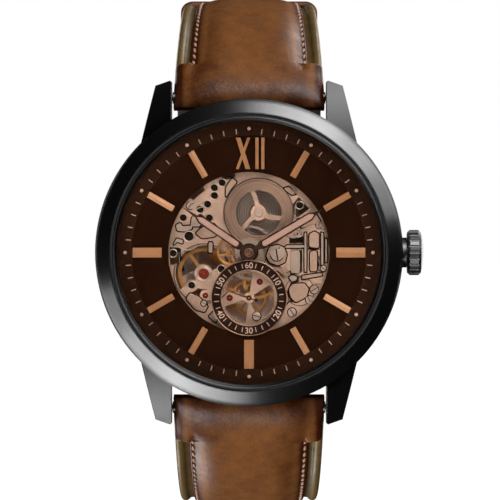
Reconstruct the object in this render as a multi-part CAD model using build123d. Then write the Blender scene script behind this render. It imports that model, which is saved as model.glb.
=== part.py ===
from build123d import *
import math
import os

# A skeleton wristwatch. Everything is drawn with the dial upward: x to 3 o'clock, y to
# 12 o'clock, z from the case back to the crystal, millimetres. export() then turns it
# upright, so the dial faces -Y and 12 o'clock is +Z. The origin is the case back's centre.

# ---- fits and clearances ----
EPS = 0.01  # cutting tools run this far past the faces they cut
RUN = 0.04  # radial clearance of a running fit
LOOSE = 0.1  # clearance between parts that only pass each other

# ---- case ----
CASE_RADIUS = 24.0
CASE_BOTTOM = 1.2
CASE_TOP = 9.9
CASE_WALL = 3.1
CASE_LOWER_CHAMFER = 1.6
CASE_UPPER_CHAMFER = 0.45
BORE_RADIUS = CASE_RADIUS - CASE_WALL
LUG_GAP = 24.2  # between the lugs
LUG_LENGTH = CASE_RADIUS + 3.0  # from the centre to the lug tips
LUG_ROOT_X = 16.9
LUG_TIP_X = 14.7
LUG_TOP = 9.3
LUG_TIP_TOP = 4.3
LUG_TIP_BOTTOM = 0.9
LUG_FALL = 0.36  # how far the lug's top falls per millimetre outward
LUG_HOLE_RADIUS = 0.55
END_RECESS_Y = CASE_RADIUS - 2.3  # the case is cut flat here, between the lugs
RECESS_HEIGHT = 7.0

# ---- bezel, crystal, case back ----
BEZEL_OUTER = CASE_RADIUS - 0.33
BEZEL_INNER = CASE_RADIUS - 2.38
BEZEL_TOP = 12.3
BEZEL_EDGE = 11.35
BEZEL_BEVEL = 0.3
FLANGE_INNER = CASE_RADIUS - 3.42
FLANGE_BOTTOM = 9.6
GLASS_RADIUS = CASE_RADIUS - 2.76
GLASS_BOTTOM = 11.1
GLASS_THICKNESS = 1.4
GLASS_CHAMFER = 0.36
GASKET_TOP = 11.95
BACK_FLANGE = CASE_RADIUS - 2.0
BACK_SPIGOT_TOP = 2.3
BACK_NOTCHES = 6
BACK_NOTCH = 2.4
WINDOW_RADIUS = 14.9
WINDOW_LIP = 13.9
WINDOW_BOTTOM = 0.4
WINDOW_THICKNESS = 1.1

# ---- dial ----
DIAL_RADIUS = CASE_RADIUS - 3.3
DIAL_BOTTOM = 8.9
DIAL_THICKNESS = 0.4
DIAL_TOP = DIAL_BOTTOM + DIAL_THICKNESS
APERTURE = 12.55
TRACK_INNER = DIAL_RADIUS - 2.4
TRACK_THICKNESS = 0.15
MARKER_HEIGHT = 0.35
MARKER_WIDTH = 0.98
MARKER_GAP = 1.05  # from the aperture to a marker
MARKER_END = 0.2  # from a marker to the minute track
WIDE_MARKER = 1.52
SUBDIAL_OUTER = 5.92
SUBDIAL_INNER = 4.28
SUBDIAL_THICKNESS = 0.3
SUBDIAL_NECK = 1.7
SUBDIAL_BOSS = 1.45
NUMERAL_BOTTOM = 13.0
NUMERAL_TOP = 17.9
NUMERAL_THIN = 0.45
NUMERAL_THICK = 0.72
NUMERAL_X_LEFT = -2.06
NUMERAL_X_RIGHT = 0.19
NUMERAL_BARS = (0.99, 1.9)

# ---- movement frame ----
MOVEMENT_RADIUS = 14.85
SKIRT_INNER = 13.7
HOLDER_BOTTOM = 2.4
BRIDGE_RADIUS = MOVEMENT_RADIUS - 0.4
BRIDGE_BOTTOM = 4.4
BRIDGE_TOP = 5.2
PLATE_BOTTOM = 7.5
PLATE_TOP = 8.3
AUTO_BOTTOM = 3.0
AUTO_TOP = 3.5
AUTO_RADIUS = 10.5

# ---- wheel centres, seen from the dial ----
CENTRE = (0.0, 0.0)
BARREL = (1.48, 6.2)
THIRD = (1.68, -4.54)
FOURTH = (0.0, -7.06)
ESCAPE = (-3.02, -7.06)
BALANCE = (-7.06, -3.3)
MINUTE_WHEEL = (-2.88, 0.1)
REVERSER = (-4.38, 0.38)
CROWN_WHEEL = (6.3, 0.0)

# ---- teeth ----
BARREL_TEETH = 78
CENTRE_PINION_TEETH = 13
CENTRE_TEETH = 80
THIRD_PINION_TEETH = 10
THIRD_TEETH = 75
FOURTH_PINION_TEETH = 10
FOURTH_TEETH = 84
ESCAPE_PINION_TEETH = 7
ESCAPE_TEETH = 15
CANNON_TEETH = 12
MINUTE_WHEEL_TEETH = 36
MINUTE_PINION_TEETH = 10
HOUR_TEETH = 40
RATCHET_TEETH = 43
REDUCTION_TEETH = 20
REVERSER_PINION_TEETH = 8
ROTOR_GEAR_TEETH = 40
REVERSER_TEETH = 40
CROWN_WHEEL_TEETH = 33

# ---- wheel levels (bottom, top) ----
ROTOR_GEAR_Z = (3.6, 3.85)
RATCHET_Z = (3.95, 4.3)
FOURTH_Z = (5.9, 6.05)
THIRD_Z = (6.5, 6.65)
CENTRE_Z = (7.05, 7.25)
ESCAPE_Z = (6.5, 6.65)
FORK_Z = (6.45, 6.7)
BARREL_Z = (5.3, 6.9)
BARREL_TOOTH_Z = (6.35, 6.75)
BALANCE_Z = (5.4, 5.8)
MINUTE_WHEEL_Z = (8.38, 8.52)
HOUR_WHEEL_Z = (8.58, 8.78)
PIVOT = 0.1
ARBOR = 0.16
POST = 0.6
SPOKE = 0.35
RIM = 0.45
ROLLER_Z = (6.05, 6.75)
BALANCE_RADIUS = 4.07
BALANCE_RIM = 0.55
HAIRSPRING_Z = (5.25, 5.33)
HAIRSPRING_TURNS = 7
HAIRSPRING_RADIUS = 2.6
MAINSPRING_TURNS = 8
BARREL_WALL = 0.4
FORK_REACH = 1.155  # fork axis to escape axis, in escape wheel radii
ESCAPE_RADIUS = 1.95

# ---- keyless works ----
STEM_Z = 5.4
STEM_RADIUS = 0.6
STEM_SQUARE = 0.68
CLUTCH_X = (8.0, 9.2)
PINION_X = (9.35, 10.4)
PINION_TEETH = 10
BLOCK_X = (10.5, 11.2)
GROOVE_X = 11.9
GROOVE_WIDTH = 0.5
GROOVE_RADIUS = 0.36
LEVER_PIN = 0.17
LEVER_ARM = 2.8
CROWN_PULL = 1.2
CROWN_RADIUS = 3.55
CROWN_IN = CASE_RADIUS + 0.75
CROWN_LENGTH = 2.57
CROWN_FLUTES = 22
TUBE_RADIUS = 1.25
COLLAR_RADIUS = 2.35

# ---- rotor ----
ROTOR_RADIUS = 14.3
ROTOR_WEIGHT_INNER = 11.0
ROTOR_WEIGHT_Z = (1.95, 3.4)
ROTOR_PLATE_Z = (2.3, 2.65)
ROTOR_HUB = 1.5
ROTOR_CAP = 3.2

# ---- hands (angles are clockwise from 12) ----
HOUR_ANGLE = 304.3
MINUTE_ANGLE = 59.5
SECOND_ANGLE = 287.6
HOUR_HAND_Z = (10.05, 10.25)
MINUTE_HAND_Z = (10.5, 10.7)
SECOND_HAND_Z = (9.75, 9.87)
HOUR_LENGTH = 12.4
MINUTE_LENGTH = 13.2
SECOND_LENGTH = 3.87
HAND_WIDTH = 1.33
SLOT_WIDTH = 0.86
HOUR_SLOT = (2.07, 9.7)
MINUTE_SLOT = (2.46, 11.7)
HAND_HUB = 1.2
HOUR_TUBE = 0.95
CANNON_TUBE = 0.66
CENTRE_ARBOR = 0.4

# ---- strap ----
STRAP_WIDTH = 23.7
STRAP_END_WIDTH = 20.0
STRAP_RADIUS = 39.5  # middle of the strap, round the wrist
BAR_Y = CASE_RADIUS + 0.3
BAR_Z = 3.4
BAR_RADIUS = 0.9
BAR_PIN = 0.5
ROLL_RADIUS = 1.9
SHORT_END = 133.97  # where the halves end, in degrees round the wrist from the dial
LONG_END = 200.97
LINING = 1.1
LEATHER_EDGE = 1.3
LEATHER_MIDDLE = 2.7
LEATHER_TIP = 1.6
EDGE_BAND = 2.0
HOLES = 7
HOLE_RADIUS = 1.0
HOLE_PITCH = 9.4  # degrees
FIRST_HOLE = 19.0  # degrees from the tip
SECTION_STEP = 8.0

# ---- buckle and keepers ----
BUCKLE_BAR = 0.8
BUCKLE_ROLL = 1.5
BUCKLE_LENGTH = 10.0
BUCKLE_ARM = 2.0
BUCKLE_GAP = 0.3  # between the strap's edge and the buckle
BUCKLE_THICKNESS = 1.8
TONGUE_WIDTH = 2.0
TONGUE_THICKNESS = 1.0
KEEPER_LENGTH = 6.0
KEEPER_WALL = 1.1
KEEPER_SLACK = 0.75
KEEPER_ROOM = 3.0  # room over the strap for the other end
FIXED_KEEPER_BACK = 5.86  # along the strap from its buckle end to the keeper's middle
SLIDING_KEEPER_BACK = 13.1


# ---- shared helpers ----
def polar(radius, degrees, centre=CENTRE):
    x = centre[0] + radius * math.cos(math.radians(degrees))
    y = centre[1] + radius * math.sin(math.radians(degrees))
    return (x, y)


def clock(degrees):
    """The drawing angle of a direction given clockwise from 12."""
    return 90.0 - degrees


def disc(radius, bottom, top, at=CENTRE):
    low = (Align.CENTER, Align.CENTER, Align.MIN)
    return Pos(at[0], at[1], bottom) * Cylinder(radius, top - bottom, align=low)


def tube(outer, inner, bottom, top, at=CENTRE):
    return disc(outer, bottom, top, at) - disc(inner, bottom - EPS, top + EPS, at)


def block(x, y, z):
    """A box from three (low, high) pairs."""
    low = (Align.MIN, Align.MIN, Align.MIN)
    return Pos(x[0], y[0], z[0]) * Box(x[1] - x[0], y[1] - y[0], z[1] - z[0], align=low)


def prism(points, bottom, top):
    return extrude(Pos(0, 0, bottom) * make_face(Polyline(*points, close=True)), top - bottom)


def bar(start, end, width, bottom, top):
    """A flat bar with square ends from start to end."""
    length = math.dist(start, end)
    angle = math.degrees(math.atan2(end[1] - start[1], end[0] - start[0]))
    flat = block((0, length), (-width / 2, width / 2), (bottom, top))
    return Pos(start[0], start[1], 0) * Rot(0, 0, angle) * flat


def sector(outer, inner, start, end, bottom, top, at=CENTRE):
    """A ring segment between two drawing angles."""
    steps = 24
    angles = [start + (end - start) * n / steps for n in range(steps + 1)]
    reach = outer / math.cos(math.radians((end - start) / steps / 2)) + EPS
    fan = [at] + [polar(reach, a, at) for a in angles]
    return tube(outer, inner, bottom, top, at) & prism(fan, bottom, top)


def spun(points):
    """A solid of revolution about z from (radius, z) points."""
    face = make_face(Polyline(*[(r, 0, z) for r, z in points], close=True))
    return revolve(face, Axis.Z)


def along_x(radius, start, end, y=0.0, z=STEM_Z):
    low = (Align.CENTER, Align.CENTER, Align.MIN)
    return Pos(start, y, z) * Rot(0, 90, 0) * Cylinder(radius, end - start, align=low)


def gear(teeth, module, bottom, top, at=CENTRE, phase=0.0):
    """A wheel blank with straight-sided teeth; phase is the angle of its first tooth."""
    pitch = module * teeth / 2
    quarter = 90.0 / teeth
    points = []
    for n in range(teeth):
        middle = phase + 360.0 * n / teeth
        for side, radius, share in ((-1, pitch - 1.2 * module, 1.3), (-1, pitch + 0.8 * module, 0.4),
                                    (1, pitch + 0.8 * module, 0.4), (1, pitch - 1.2 * module, 1.3)):
            points.append(polar(radius, middle + side * share * quarter, at))
    return prism(points, bottom, top)


def module_for(a, b, teeth_a, teeth_b):
    """The module that makes two wheels at these centres mesh."""
    return 2 * math.dist(a, b) / (teeth_a + teeth_b)


def heading(a, b):
    return math.degrees(math.atan2(b[1] - a[1], b[0] - a[0]))


def meshed(driver, driver_phase, driver_teeth, at, teeth):
    """The phase at which a wheel's gap faces the driver's tooth."""
    direction = heading(driver, at)
    past = (direction - driver_phase) / (360.0 / driver_teeth) % 1.0
    return direction + 180.0 + (past - 0.5) * 360.0 / teeth


def spoked(blank, pitch, bottom, top, at, spokes, rim=RIM, hub=0.7):
    """A wheel blank opened between its rim, spokes and hub."""
    inner = pitch - rim
    wheel = blank - disc(inner, bottom - EPS, top + EPS, at)
    wheel += disc(hub, bottom, top, at)
    for n in range(spokes):
        wheel += bar(at, polar(inner + rim / 2, 360.0 * n / spokes + 20.0, at), SPOKE, bottom, top)
    return wheel


def arbor(at, bottom, top, radius=ARBOR):
    """A wheel's axle with a thinner pivot at each end."""
    shaft = disc(radius, bottom, top, at)
    return shaft + disc(PIVOT, bottom - 0.35, top + 0.35, at)


def upright(shape):
    return shape.rotate(Axis.X, 90)


# ---- case ----
def case_middle():
    bore = BORE_RADIUS
    body = spun([
        (bore, CASE_BOTTOM),
        (CASE_RADIUS - CASE_LOWER_CHAMFER, CASE_BOTTOM),
        (CASE_RADIUS, CASE_BOTTOM + CASE_LOWER_CHAMFER),
        (CASE_RADIUS, CASE_TOP - 2 * CASE_UPPER_CHAMFER),
        (CASE_RADIUS - CASE_UPPER_CHAMFER, CASE_TOP),
        (bore, CASE_TOP),
    ])
    for side in (-1, 1):
        for end in (-1, 1):
            body += lug(side, end) - disc(bore + CASE_WALL / 2, 0, CASE_TOP)
    for end in (-1, 1):
        near = END_RECESS_Y if end > 0 else -2 * CASE_RADIUS
        far = 2 * CASE_RADIUS if end > 0 else -END_RECESS_Y
        body -= block((-LUG_GAP / 2, LUG_GAP / 2), (near, far), (-EPS, RECESS_HEIGHT))
        body -= along_x(LUG_HOLE_RADIUS, -LUG_GAP / 2 - 1.4, LUG_GAP / 2 + 1.4, end * BAR_Y, BAR_Z)
    body -= along_x(TUBE_RADIUS, bore - EPS, CASE_RADIUS + EPS)
    body -= along_x(COLLAR_RADIUS, CASE_RADIUS - 0.4, CASE_RADIUS + CASE_WALL)
    return body


def lug(side, end):
    """One lug: its outline from above, trimmed by its outline from the side."""
    plan = [
        (side * LUG_GAP / 2, end * (CASE_RADIUS * 0.62)),
        (side * (LUG_ROOT_X - 0.6), end * (CASE_RADIUS * 0.62)),
        (side * LUG_ROOT_X, end * math.sqrt(CASE_RADIUS**2 - LUG_ROOT_X**2)),
        (side * LUG_TIP_X, end * (LUG_LENGTH - 0.8)),
        (side * (LUG_GAP / 2 + 0.3), end * LUG_LENGTH),
        (side * LUG_GAP / 2, end * (LUG_LENGTH - 0.25)),
    ]
    root_y = CASE_RADIUS * 0.6
    top_edge = ThreePointArc(
        (0, end * root_y, LUG_TOP),
        (0, end * (root_y + LUG_LENGTH) / 2, (LUG_TOP + LUG_TIP_TOP) / 2 + 1.3),
        (0, end * (LUG_LENGTH + 0.2), LUG_TIP_TOP),
    )
    rest = Polyline(
        (0, end * (LUG_LENGTH + 0.2), LUG_TIP_TOP),
        (0, end * (LUG_LENGTH + 0.2), LUG_TIP_BOTTOM + 0.8),
        (0, end * (LUG_LENGTH - 1.2), LUG_TIP_BOTTOM),
        (0, end * root_y, CASE_BOTTOM + 0.6),
        (0, end * root_y, LUG_TOP),
    )
    side_view = make_face([top_edge, rest])
    wide = extrude(side_view, LUG_ROOT_X + 2, both=True)
    return prism(plan, 0, CASE_TOP) & wide & lug_slope(side, side_view)


def lug_slope(side, side_view):
    """The space under a lug's top, which falls away outward from the lug's inner edge."""
    deep = side_view + Pos(0, 0, -LUG_TIP_TOP) * side_view
    inner = Pos(side * (LUG_GAP / 2 - 1), 0, LUG_FALL) * deep
    return extrude(inner, LUG_ROOT_X, dir=(side, 0, -LUG_FALL))


def bezel():
    return spun([
        (FLANGE_INNER, FLANGE_BOTTOM),
        (BORE_RADIUS - RUN, FLANGE_BOTTOM),
        (BORE_RADIUS - RUN, CASE_TOP),
        (BEZEL_OUTER, CASE_TOP),
        (BEZEL_OUTER, BEZEL_EDGE - BEZEL_BEVEL),
        (BEZEL_OUTER - BEZEL_BEVEL, BEZEL_EDGE),
        (BEZEL_INNER + BEZEL_BEVEL / 2, BEZEL_TOP),
        (BEZEL_INNER, BEZEL_TOP - BEZEL_BEVEL / 2),
        (BEZEL_INNER, GLASS_BOTTOM),
        (FLANGE_INNER, GLASS_BOTTOM),
    ])


def crystal():
    top = GLASS_BOTTOM + GLASS_THICKNESS
    return spun([
        (0, GLASS_BOTTOM),
        (GLASS_RADIUS, GLASS_BOTTOM),
        (GLASS_RADIUS, top - GLASS_CHAMFER),
        (GLASS_RADIUS - GLASS_CHAMFER, top),
        (0, top),
    ])


def crystal_gasket():
    return tube(BEZEL_INNER, GLASS_RADIUS, GLASS_BOTTOM, GASKET_TOP)


def case_back():
    back = spun([
        (WINDOW_LIP, 0),
        (BACK_FLANGE - 0.5, 0),
        (BACK_FLANGE, 0.5),
        (BACK_FLANGE, CASE_BOTTOM),
        (BORE_RADIUS - RUN, CASE_BOTTOM),
        (BORE_RADIUS - RUN, BACK_SPIGOT_TOP),
        (WINDOW_RADIUS + LOOSE, BACK_SPIGOT_TOP),
        (WINDOW_RADIUS + LOOSE, WINDOW_BOTTOM),
        (WINDOW_LIP, WINDOW_BOTTOM),
    ])
    for n in range(BACK_NOTCHES):
        notch = block((BACK_FLANGE - 1.4, BACK_FLANGE + 1), (-BACK_NOTCH / 2, BACK_NOTCH / 2), (-EPS, 0.7))
        back -= Rot(0, 0, 360.0 * n / BACK_NOTCHES + 30.0) * notch
    return back


def case_back_window():
    """A stepped glass, flush with the case back's outer face."""
    glass = disc(WINDOW_RADIUS, WINDOW_BOTTOM, WINDOW_BOTTOM + WINDOW_THICKNESS)
    return glass + disc(WINDOW_LIP - RUN, 0, WINDOW_BOTTOM)


def movement_holder():
    ring = tube(BORE_RADIUS - LOOSE, MOVEMENT_RADIUS + LOOSE, HOLDER_BOTTOM, DIAL_BOTTOM)
    ring -= along_x(TUBE_RADIUS + LOOSE, MOVEMENT_RADIUS, CASE_RADIUS)
    for n in range(8):
        pocket_at = polar((BORE_RADIUS + MOVEMENT_RADIUS) / 2, 45.0 * n + 22.5)
        ring -= disc((BORE_RADIUS - MOVEMENT_RADIUS) / 3, HOLDER_BOTTOM - EPS, HOLDER_BOTTOM + 2, pocket_at)
    return ring


# ---- crown and keyless works ----
def crown_tube():
    sleeve = along_x(TUBE_RADIUS, BORE_RADIUS, CROWN_IN + 1.2)
    sleeve += along_x(COLLAR_RADIUS, CASE_RADIUS - 0.4, CROWN_IN - LOOSE)
    return sleeve - along_x(STEM_RADIUS + RUN, BORE_RADIUS - EPS, CROWN_IN + 2)


def crown():
    """The fluted cap, hollow to pass over the tube."""
    bevel = 0.4
    length = CROWN_LENGTH
    outer = CROWN_IN + length
    cap = spun([
        (0, 0),
        (CROWN_RADIUS - bevel, 0),
        (CROWN_RADIUS, bevel),
        (CROWN_RADIUS, length - 2 * bevel),
        (CROWN_RADIUS - bevel, length - bevel),
        (CROWN_RADIUS - 3 * bevel, length - bevel / 2),
        (CROWN_RADIUS / 3, length - bevel / 8),
        (0, length),
    ])
    cap = Pos(CROWN_IN, 0, 0) * Rot(0, 90, 0) * cap
    flute = along_x(0.2, CROWN_IN - EPS, outer + EPS, 0, CROWN_RADIUS + 0.06)
    for n in range(CROWN_FLUTES):
        cap -= flute.rotate(Axis.X, 360.0 * n / CROWN_FLUTES)
    cap = Pos(0, 0, STEM_Z) * cap
    cap -= along_x(TUBE_RADIUS + 0.55, CROWN_IN - EPS, CROWN_IN + 1.5)
    return cap - along_x(STEM_RADIUS, CROWN_IN, outer - 0.6)


def crown_gasket():
    seal = along_x(TUBE_RADIUS + 0.5, CROWN_IN + 0.4, CROWN_IN + 0.8)
    return seal - along_x(TUBE_RADIUS + RUN, CROWN_IN, CROWN_IN + 1)


def winding_stem():
    square = STEM_SQUARE / 2
    stem = along_x(STEM_RADIUS, GROOVE_X + GROOVE_WIDTH / 2, CROWN_IN + CROWN_LENGTH - 0.6)
    stem += along_x(GROOVE_RADIUS, GROOVE_X - GROOVE_WIDTH, GROOVE_X + GROOVE_WIDTH)
    stem += along_x(0.5, CLUTCH_X[1] + LOOSE, GROOVE_X - GROOVE_WIDTH / 2)
    flats = (STEM_Z - square, STEM_Z + square)
    stem += block((CLUTCH_X[0] - 0.8, CLUTCH_X[1] + LOOSE), (-square, square), flats)
    return stem


def toothed_along_x(teeth, module, start, end, phase=0.0):
    flat = gear(teeth, module, start, end, CENTRE, phase)
    return Pos(0, 0, STEM_Z) * Rot(0, 90, 0) * flat


def winding_pinion():
    """Its teeth dip between those of the crown wheel, which turns at right angles to it."""
    wheel_phase = meshed(BARREL, 0.0, RATCHET_TEETH, CROWN_WHEEL, CROWN_WHEEL_TEETH)
    past = (-wheel_phase) / (360.0 / CROWN_WHEEL_TEETH) % 1.0
    phase = -(past + 0.5) * 360.0 / PINION_TEETH
    pinion = toothed_along_x(PINION_TEETH, ratchet_module(), PINION_X[0], PINION_X[1], phase)
    return pinion - along_x(0.5 + RUN, PINION_X[0] - EPS, PINION_X[1] + EPS)


def sliding_clutch():
    """The clutch that the stem's square turns."""
    square = STEM_SQUARE / 2 + RUN
    body = along_x(1.05, CLUTCH_X[0], CLUTCH_X[1])
    body -= along_x(1.3, CLUTCH_X[0] + 0.4, CLUTCH_X[0] + 0.75) - along_x(0.75, CLUTCH_X[0], CLUTCH_X[1])
    flats = (STEM_Z - square, STEM_Z + square)
    hole = block((CLUTCH_X[0] - EPS, CLUTCH_X[1] + EPS), (-square, square), flats)
    return body - hole


def lever_axis():
    return (GROOVE_X + CROWN_PULL / 2, LEVER_ARM)


def setting_lever():
    """The lever whose pin rides in the stem's groove."""
    bottom = STEM_Z + STEM_RADIUS + 0.2
    top = bottom + 0.3
    pivot = lever_axis()
    lever = disc(0.62, bottom, top, pivot)
    lever += bar(pivot, (GROOVE_X, 0), 0.7, bottom, top)
    lever += disc(0.45, bottom, top, (GROOVE_X, 0))
    lever += disc(LEVER_PIN, STEM_Z + GROOVE_RADIUS + 0.05, bottom, (GROOVE_X, 0))
    return lever - disc(0.3 + RUN, bottom - EPS, top + EPS, pivot)


def crown_wheel():
    """Turned by the winding pinion; turns the ratchet wheel."""
    module = module_for(BARREL, CROWN_WHEEL, RATCHET_TEETH, CROWN_WHEEL_TEETH)
    phase = meshed(BARREL, 0.0, RATCHET_TEETH, CROWN_WHEEL, CROWN_WHEEL_TEETH)
    wheel = gear(CROWN_WHEEL_TEETH, module, RATCHET_Z[0], RATCHET_Z[1], CROWN_WHEEL, phase)
    return wheel - disc(POST + RUN, RATCHET_Z[0] - EPS, RATCHET_Z[1] + EPS, CROWN_WHEEL)


# ---- barrel ----
def ratchet_module():
    return module_for(BARREL, CROWN_WHEEL, RATCHET_TEETH, CROWN_WHEEL_TEETH)


def ratchet_wheel():
    wheel = gear(RATCHET_TEETH, ratchet_module(), RATCHET_Z[0], RATCHET_Z[1], BARREL)
    square = 0.42
    hole = block((-square, square), (-square, square), (RATCHET_Z[0] - EPS, RATCHET_Z[1] + EPS))
    for n in range(5):
        wheel -= disc(0.62, RATCHET_Z[0] - EPS, RATCHET_Z[1] + EPS, polar(2.3, 72.0 * n, BARREL))
    return wheel - Pos(BARREL[0], BARREL[1], 0) * hole


def barrel_arbor():
    square = 0.4
    core = disc(1.1, BARREL_Z[0] + 0.25, BARREL_Z[1] - 0.1, BARREL)
    core += disc(0.6, BRIDGE_BOTTOM - 0.05, PLATE_TOP - 0.1, BARREL)
    end = block((-square, square), (-square, square), (RATCHET_Z[0], BRIDGE_BOTTOM))
    return core + Pos(BARREL[0], BARREL[1], 0) * end


def barrel_module():
    return module_for(CENTRE, BARREL, BARREL_TEETH, CENTRE_PINION_TEETH)


def barrel_drum():
    """An open-topped drum with the great wheel round its rim."""
    pitch = barrel_module() * BARREL_TEETH / 2
    phase = meshed(CENTRE, 0.0, CENTRE_PINION_TEETH, BARREL, BARREL_TEETH)
    drum = gear(BARREL_TEETH, barrel_module(), BARREL_TOOTH_Z[0], BARREL_TOOTH_Z[1], BARREL, phase)
    wall = pitch - 3 * barrel_module()
    drum += disc(wall, BARREL_Z[0], BARREL_Z[1], BARREL)
    drum -= disc(wall - BARREL_WALL, BARREL_Z[0] + 0.2, BARREL_Z[1] + EPS, BARREL)
    return drum - disc(0.6 + RUN, BARREL_Z[0] - EPS, BARREL_Z[1], BARREL)


def mainspring():
    """A coiled strip between the arbor and the drum's wall."""
    outer = barrel_module() * BARREL_TEETH / 2 - 3 * barrel_module() - BARREL_WALL - 0.12
    inner = 1.45
    return coil(BARREL, inner, outer, MAINSPRING_TURNS, 0.13, BARREL_Z[0] + 0.3, BARREL_Z[1] - 0.25)


def coil(at, inner, outer, turns, width, bottom, top):
    """A flat spiral strip."""
    steps = 18 * turns
    radii = [inner + (outer - width - inner) * n / steps for n in range(steps + 1)]
    angles = [360.0 * turns * n / steps for n in range(steps + 1)]
    near = [polar(r, a, at) for r, a in zip(radii, angles)]
    far = [polar(r + width, a, at) for r, a in zip(radii, angles)]
    outline = [Spline(*near), Line(near[-1], far[-1]), Spline(*far), Line(far[0], near[0])]
    return extrude(Pos(0, 0, bottom) * make_face(outline), top - bottom)


def click_axis():
    return polar(ratchet_module() * RATCHET_TEETH / 2 + 1.5, 62.0, BARREL)


def click():
    """The pawl that keeps the ratchet wheel from running back."""
    pivot = click_axis()
    tip = polar(ratchet_module() * RATCHET_TEETH / 2 + 0.45, 74.0, BARREL)
    pawl = disc(0.55, RATCHET_Z[0], RATCHET_Z[1], pivot)
    pawl += bar(pivot, tip, 0.5, RATCHET_Z[0], RATCHET_Z[1])
    return pawl - disc(0.25 + RUN, RATCHET_Z[0] - EPS, RATCHET_Z[1] + EPS, pivot)


# ---- going train ----
def center_wheel():
    """Centre arbor, pinion and wheel: one turn an hour."""
    module = module_for(CENTRE, THIRD, CENTRE_TEETH, THIRD_PINION_TEETH)
    blank = gear(CENTRE_TEETH, module, CENTRE_Z[0], CENTRE_Z[1])
    wheel = spoked(blank, module * CENTRE_TEETH / 2, CENTRE_Z[0], CENTRE_Z[1], CENTRE, 5)
    wheel += gear(CENTRE_PINION_TEETH, barrel_module(), BARREL_TOOTH_Z[0] - 0.1, CENTRE_Z[0])
    wheel += disc(CENTRE_ARBOR, BRIDGE_TOP + LOOSE, MINUTE_HAND_Z[1] + 0.1)
    return wheel + disc(PIVOT * 2, BRIDGE_BOTTOM + 0.1, BRIDGE_TOP + LOOSE)


def third_wheel():
    centre_module = module_for(CENTRE, THIRD, CENTRE_TEETH, THIRD_PINION_TEETH)
    module = module_for(THIRD, FOURTH, THIRD_TEETH, FOURTH_PINION_TEETH)
    phase = meshed(CENTRE, 0.0, CENTRE_TEETH, THIRD, THIRD_PINION_TEETH)
    blank = gear(THIRD_TEETH, module, THIRD_Z[0], THIRD_Z[1], THIRD)
    wheel = spoked(blank, module * THIRD_TEETH / 2, THIRD_Z[0], THIRD_Z[1], THIRD, 4)
    wheel += gear(THIRD_PINION_TEETH, centre_module, THIRD_Z[1], CENTRE_Z[1] + 0.05, THIRD, phase)
    return wheel + arbor(THIRD, BRIDGE_TOP + LOOSE, PLATE_BOTTOM - LOOSE)


def fourth_wheel():
    """Carries the small seconds hand: one turn a minute."""
    pinion_module = module_for(THIRD, FOURTH, THIRD_TEETH, FOURTH_PINION_TEETH)
    module = module_for(FOURTH, ESCAPE, FOURTH_TEETH, ESCAPE_PINION_TEETH)
    phase = meshed(THIRD, 0.0, THIRD_TEETH, FOURTH, FOURTH_PINION_TEETH)
    blank = gear(FOURTH_TEETH, module, FOURTH_Z[0], FOURTH_Z[1], FOURTH)
    wheel = spoked(blank, module * FOURTH_TEETH / 2, FOURTH_Z[0], FOURTH_Z[1], FOURTH, 5)
    wheel += gear(FOURTH_PINION_TEETH, pinion_module, FOURTH_Z[1], THIRD_Z[1] + 0.1, FOURTH, phase)
    wheel += arbor(FOURTH, BRIDGE_TOP + LOOSE, PLATE_BOTTOM - LOOSE)
    return wheel + disc(PIVOT, PLATE_BOTTOM, SECOND_HAND_Z[1] - 0.02, FOURTH)


def escape_wheel():
    module = module_for(FOURTH, ESCAPE, FOURTH_TEETH, ESCAPE_PINION_TEETH)
    phase = meshed(FOURTH, 0.0, FOURTH_TEETH, ESCAPE, ESCAPE_PINION_TEETH)
    root = ESCAPE_RADIUS * 0.76
    points = []
    for n in range(ESCAPE_TEETH):
        start = 360.0 * n / ESCAPE_TEETH
        points.append(polar(root, start, ESCAPE))
        points.append(polar(ESCAPE_RADIUS, start + 13.0, ESCAPE))
        points.append(polar(ESCAPE_RADIUS, start + 16.5, ESCAPE))
        points.append(polar(root, start + 11.0, ESCAPE))
    blank = prism(points, ESCAPE_Z[0], ESCAPE_Z[1])
    wheel = spoked(blank, root, ESCAPE_Z[0], ESCAPE_Z[1], ESCAPE, 4, rim=0.3, hub=0.4)
    wheel += gear(ESCAPE_PINION_TEETH, module, FOURTH_Z[0] - 0.1, ESCAPE_Z[0], ESCAPE, phase)
    return wheel + arbor(ESCAPE, BRIDGE_TOP + LOOSE, PLATE_BOTTOM - LOOSE)


def fork_axis():
    return polar(ESCAPE_RADIUS * FORK_REACH, heading(ESCAPE, BALANCE), ESCAPE)


def pallet_fork():
    """The lever between escape wheel and balance, with its two pallet stones."""
    axis = fork_axis()
    line = heading(ESCAPE, BALANCE)
    reach = math.dist(axis, BALANCE) - 0.62
    fork = disc(0.38, FORK_Z[0], FORK_Z[1], axis)
    fork += bar(axis, polar(reach - 0.3, line, axis), 0.26, FORK_Z[0], FORK_Z[1])
    for side in (-1, 1):
        horn = polar(reach, line + side * 6.0, axis)
        neck = polar(reach - 0.45, line + side * 3.0, axis)
        fork += bar(neck, horn, 0.14, FORK_Z[0], FORK_Z[1])
        stone = polar(ESCAPE_RADIUS + 0.22, line + side * 33.0, ESCAPE)
        fork += bar(axis, stone, 0.3, FORK_Z[0], FORK_Z[1])
        fork += disc(0.17, FORK_Z[0], FORK_Z[1], stone)
    return fork + arbor(axis, FORK_Z[0] - 0.05, PLATE_BOTTOM - LOOSE)


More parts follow.
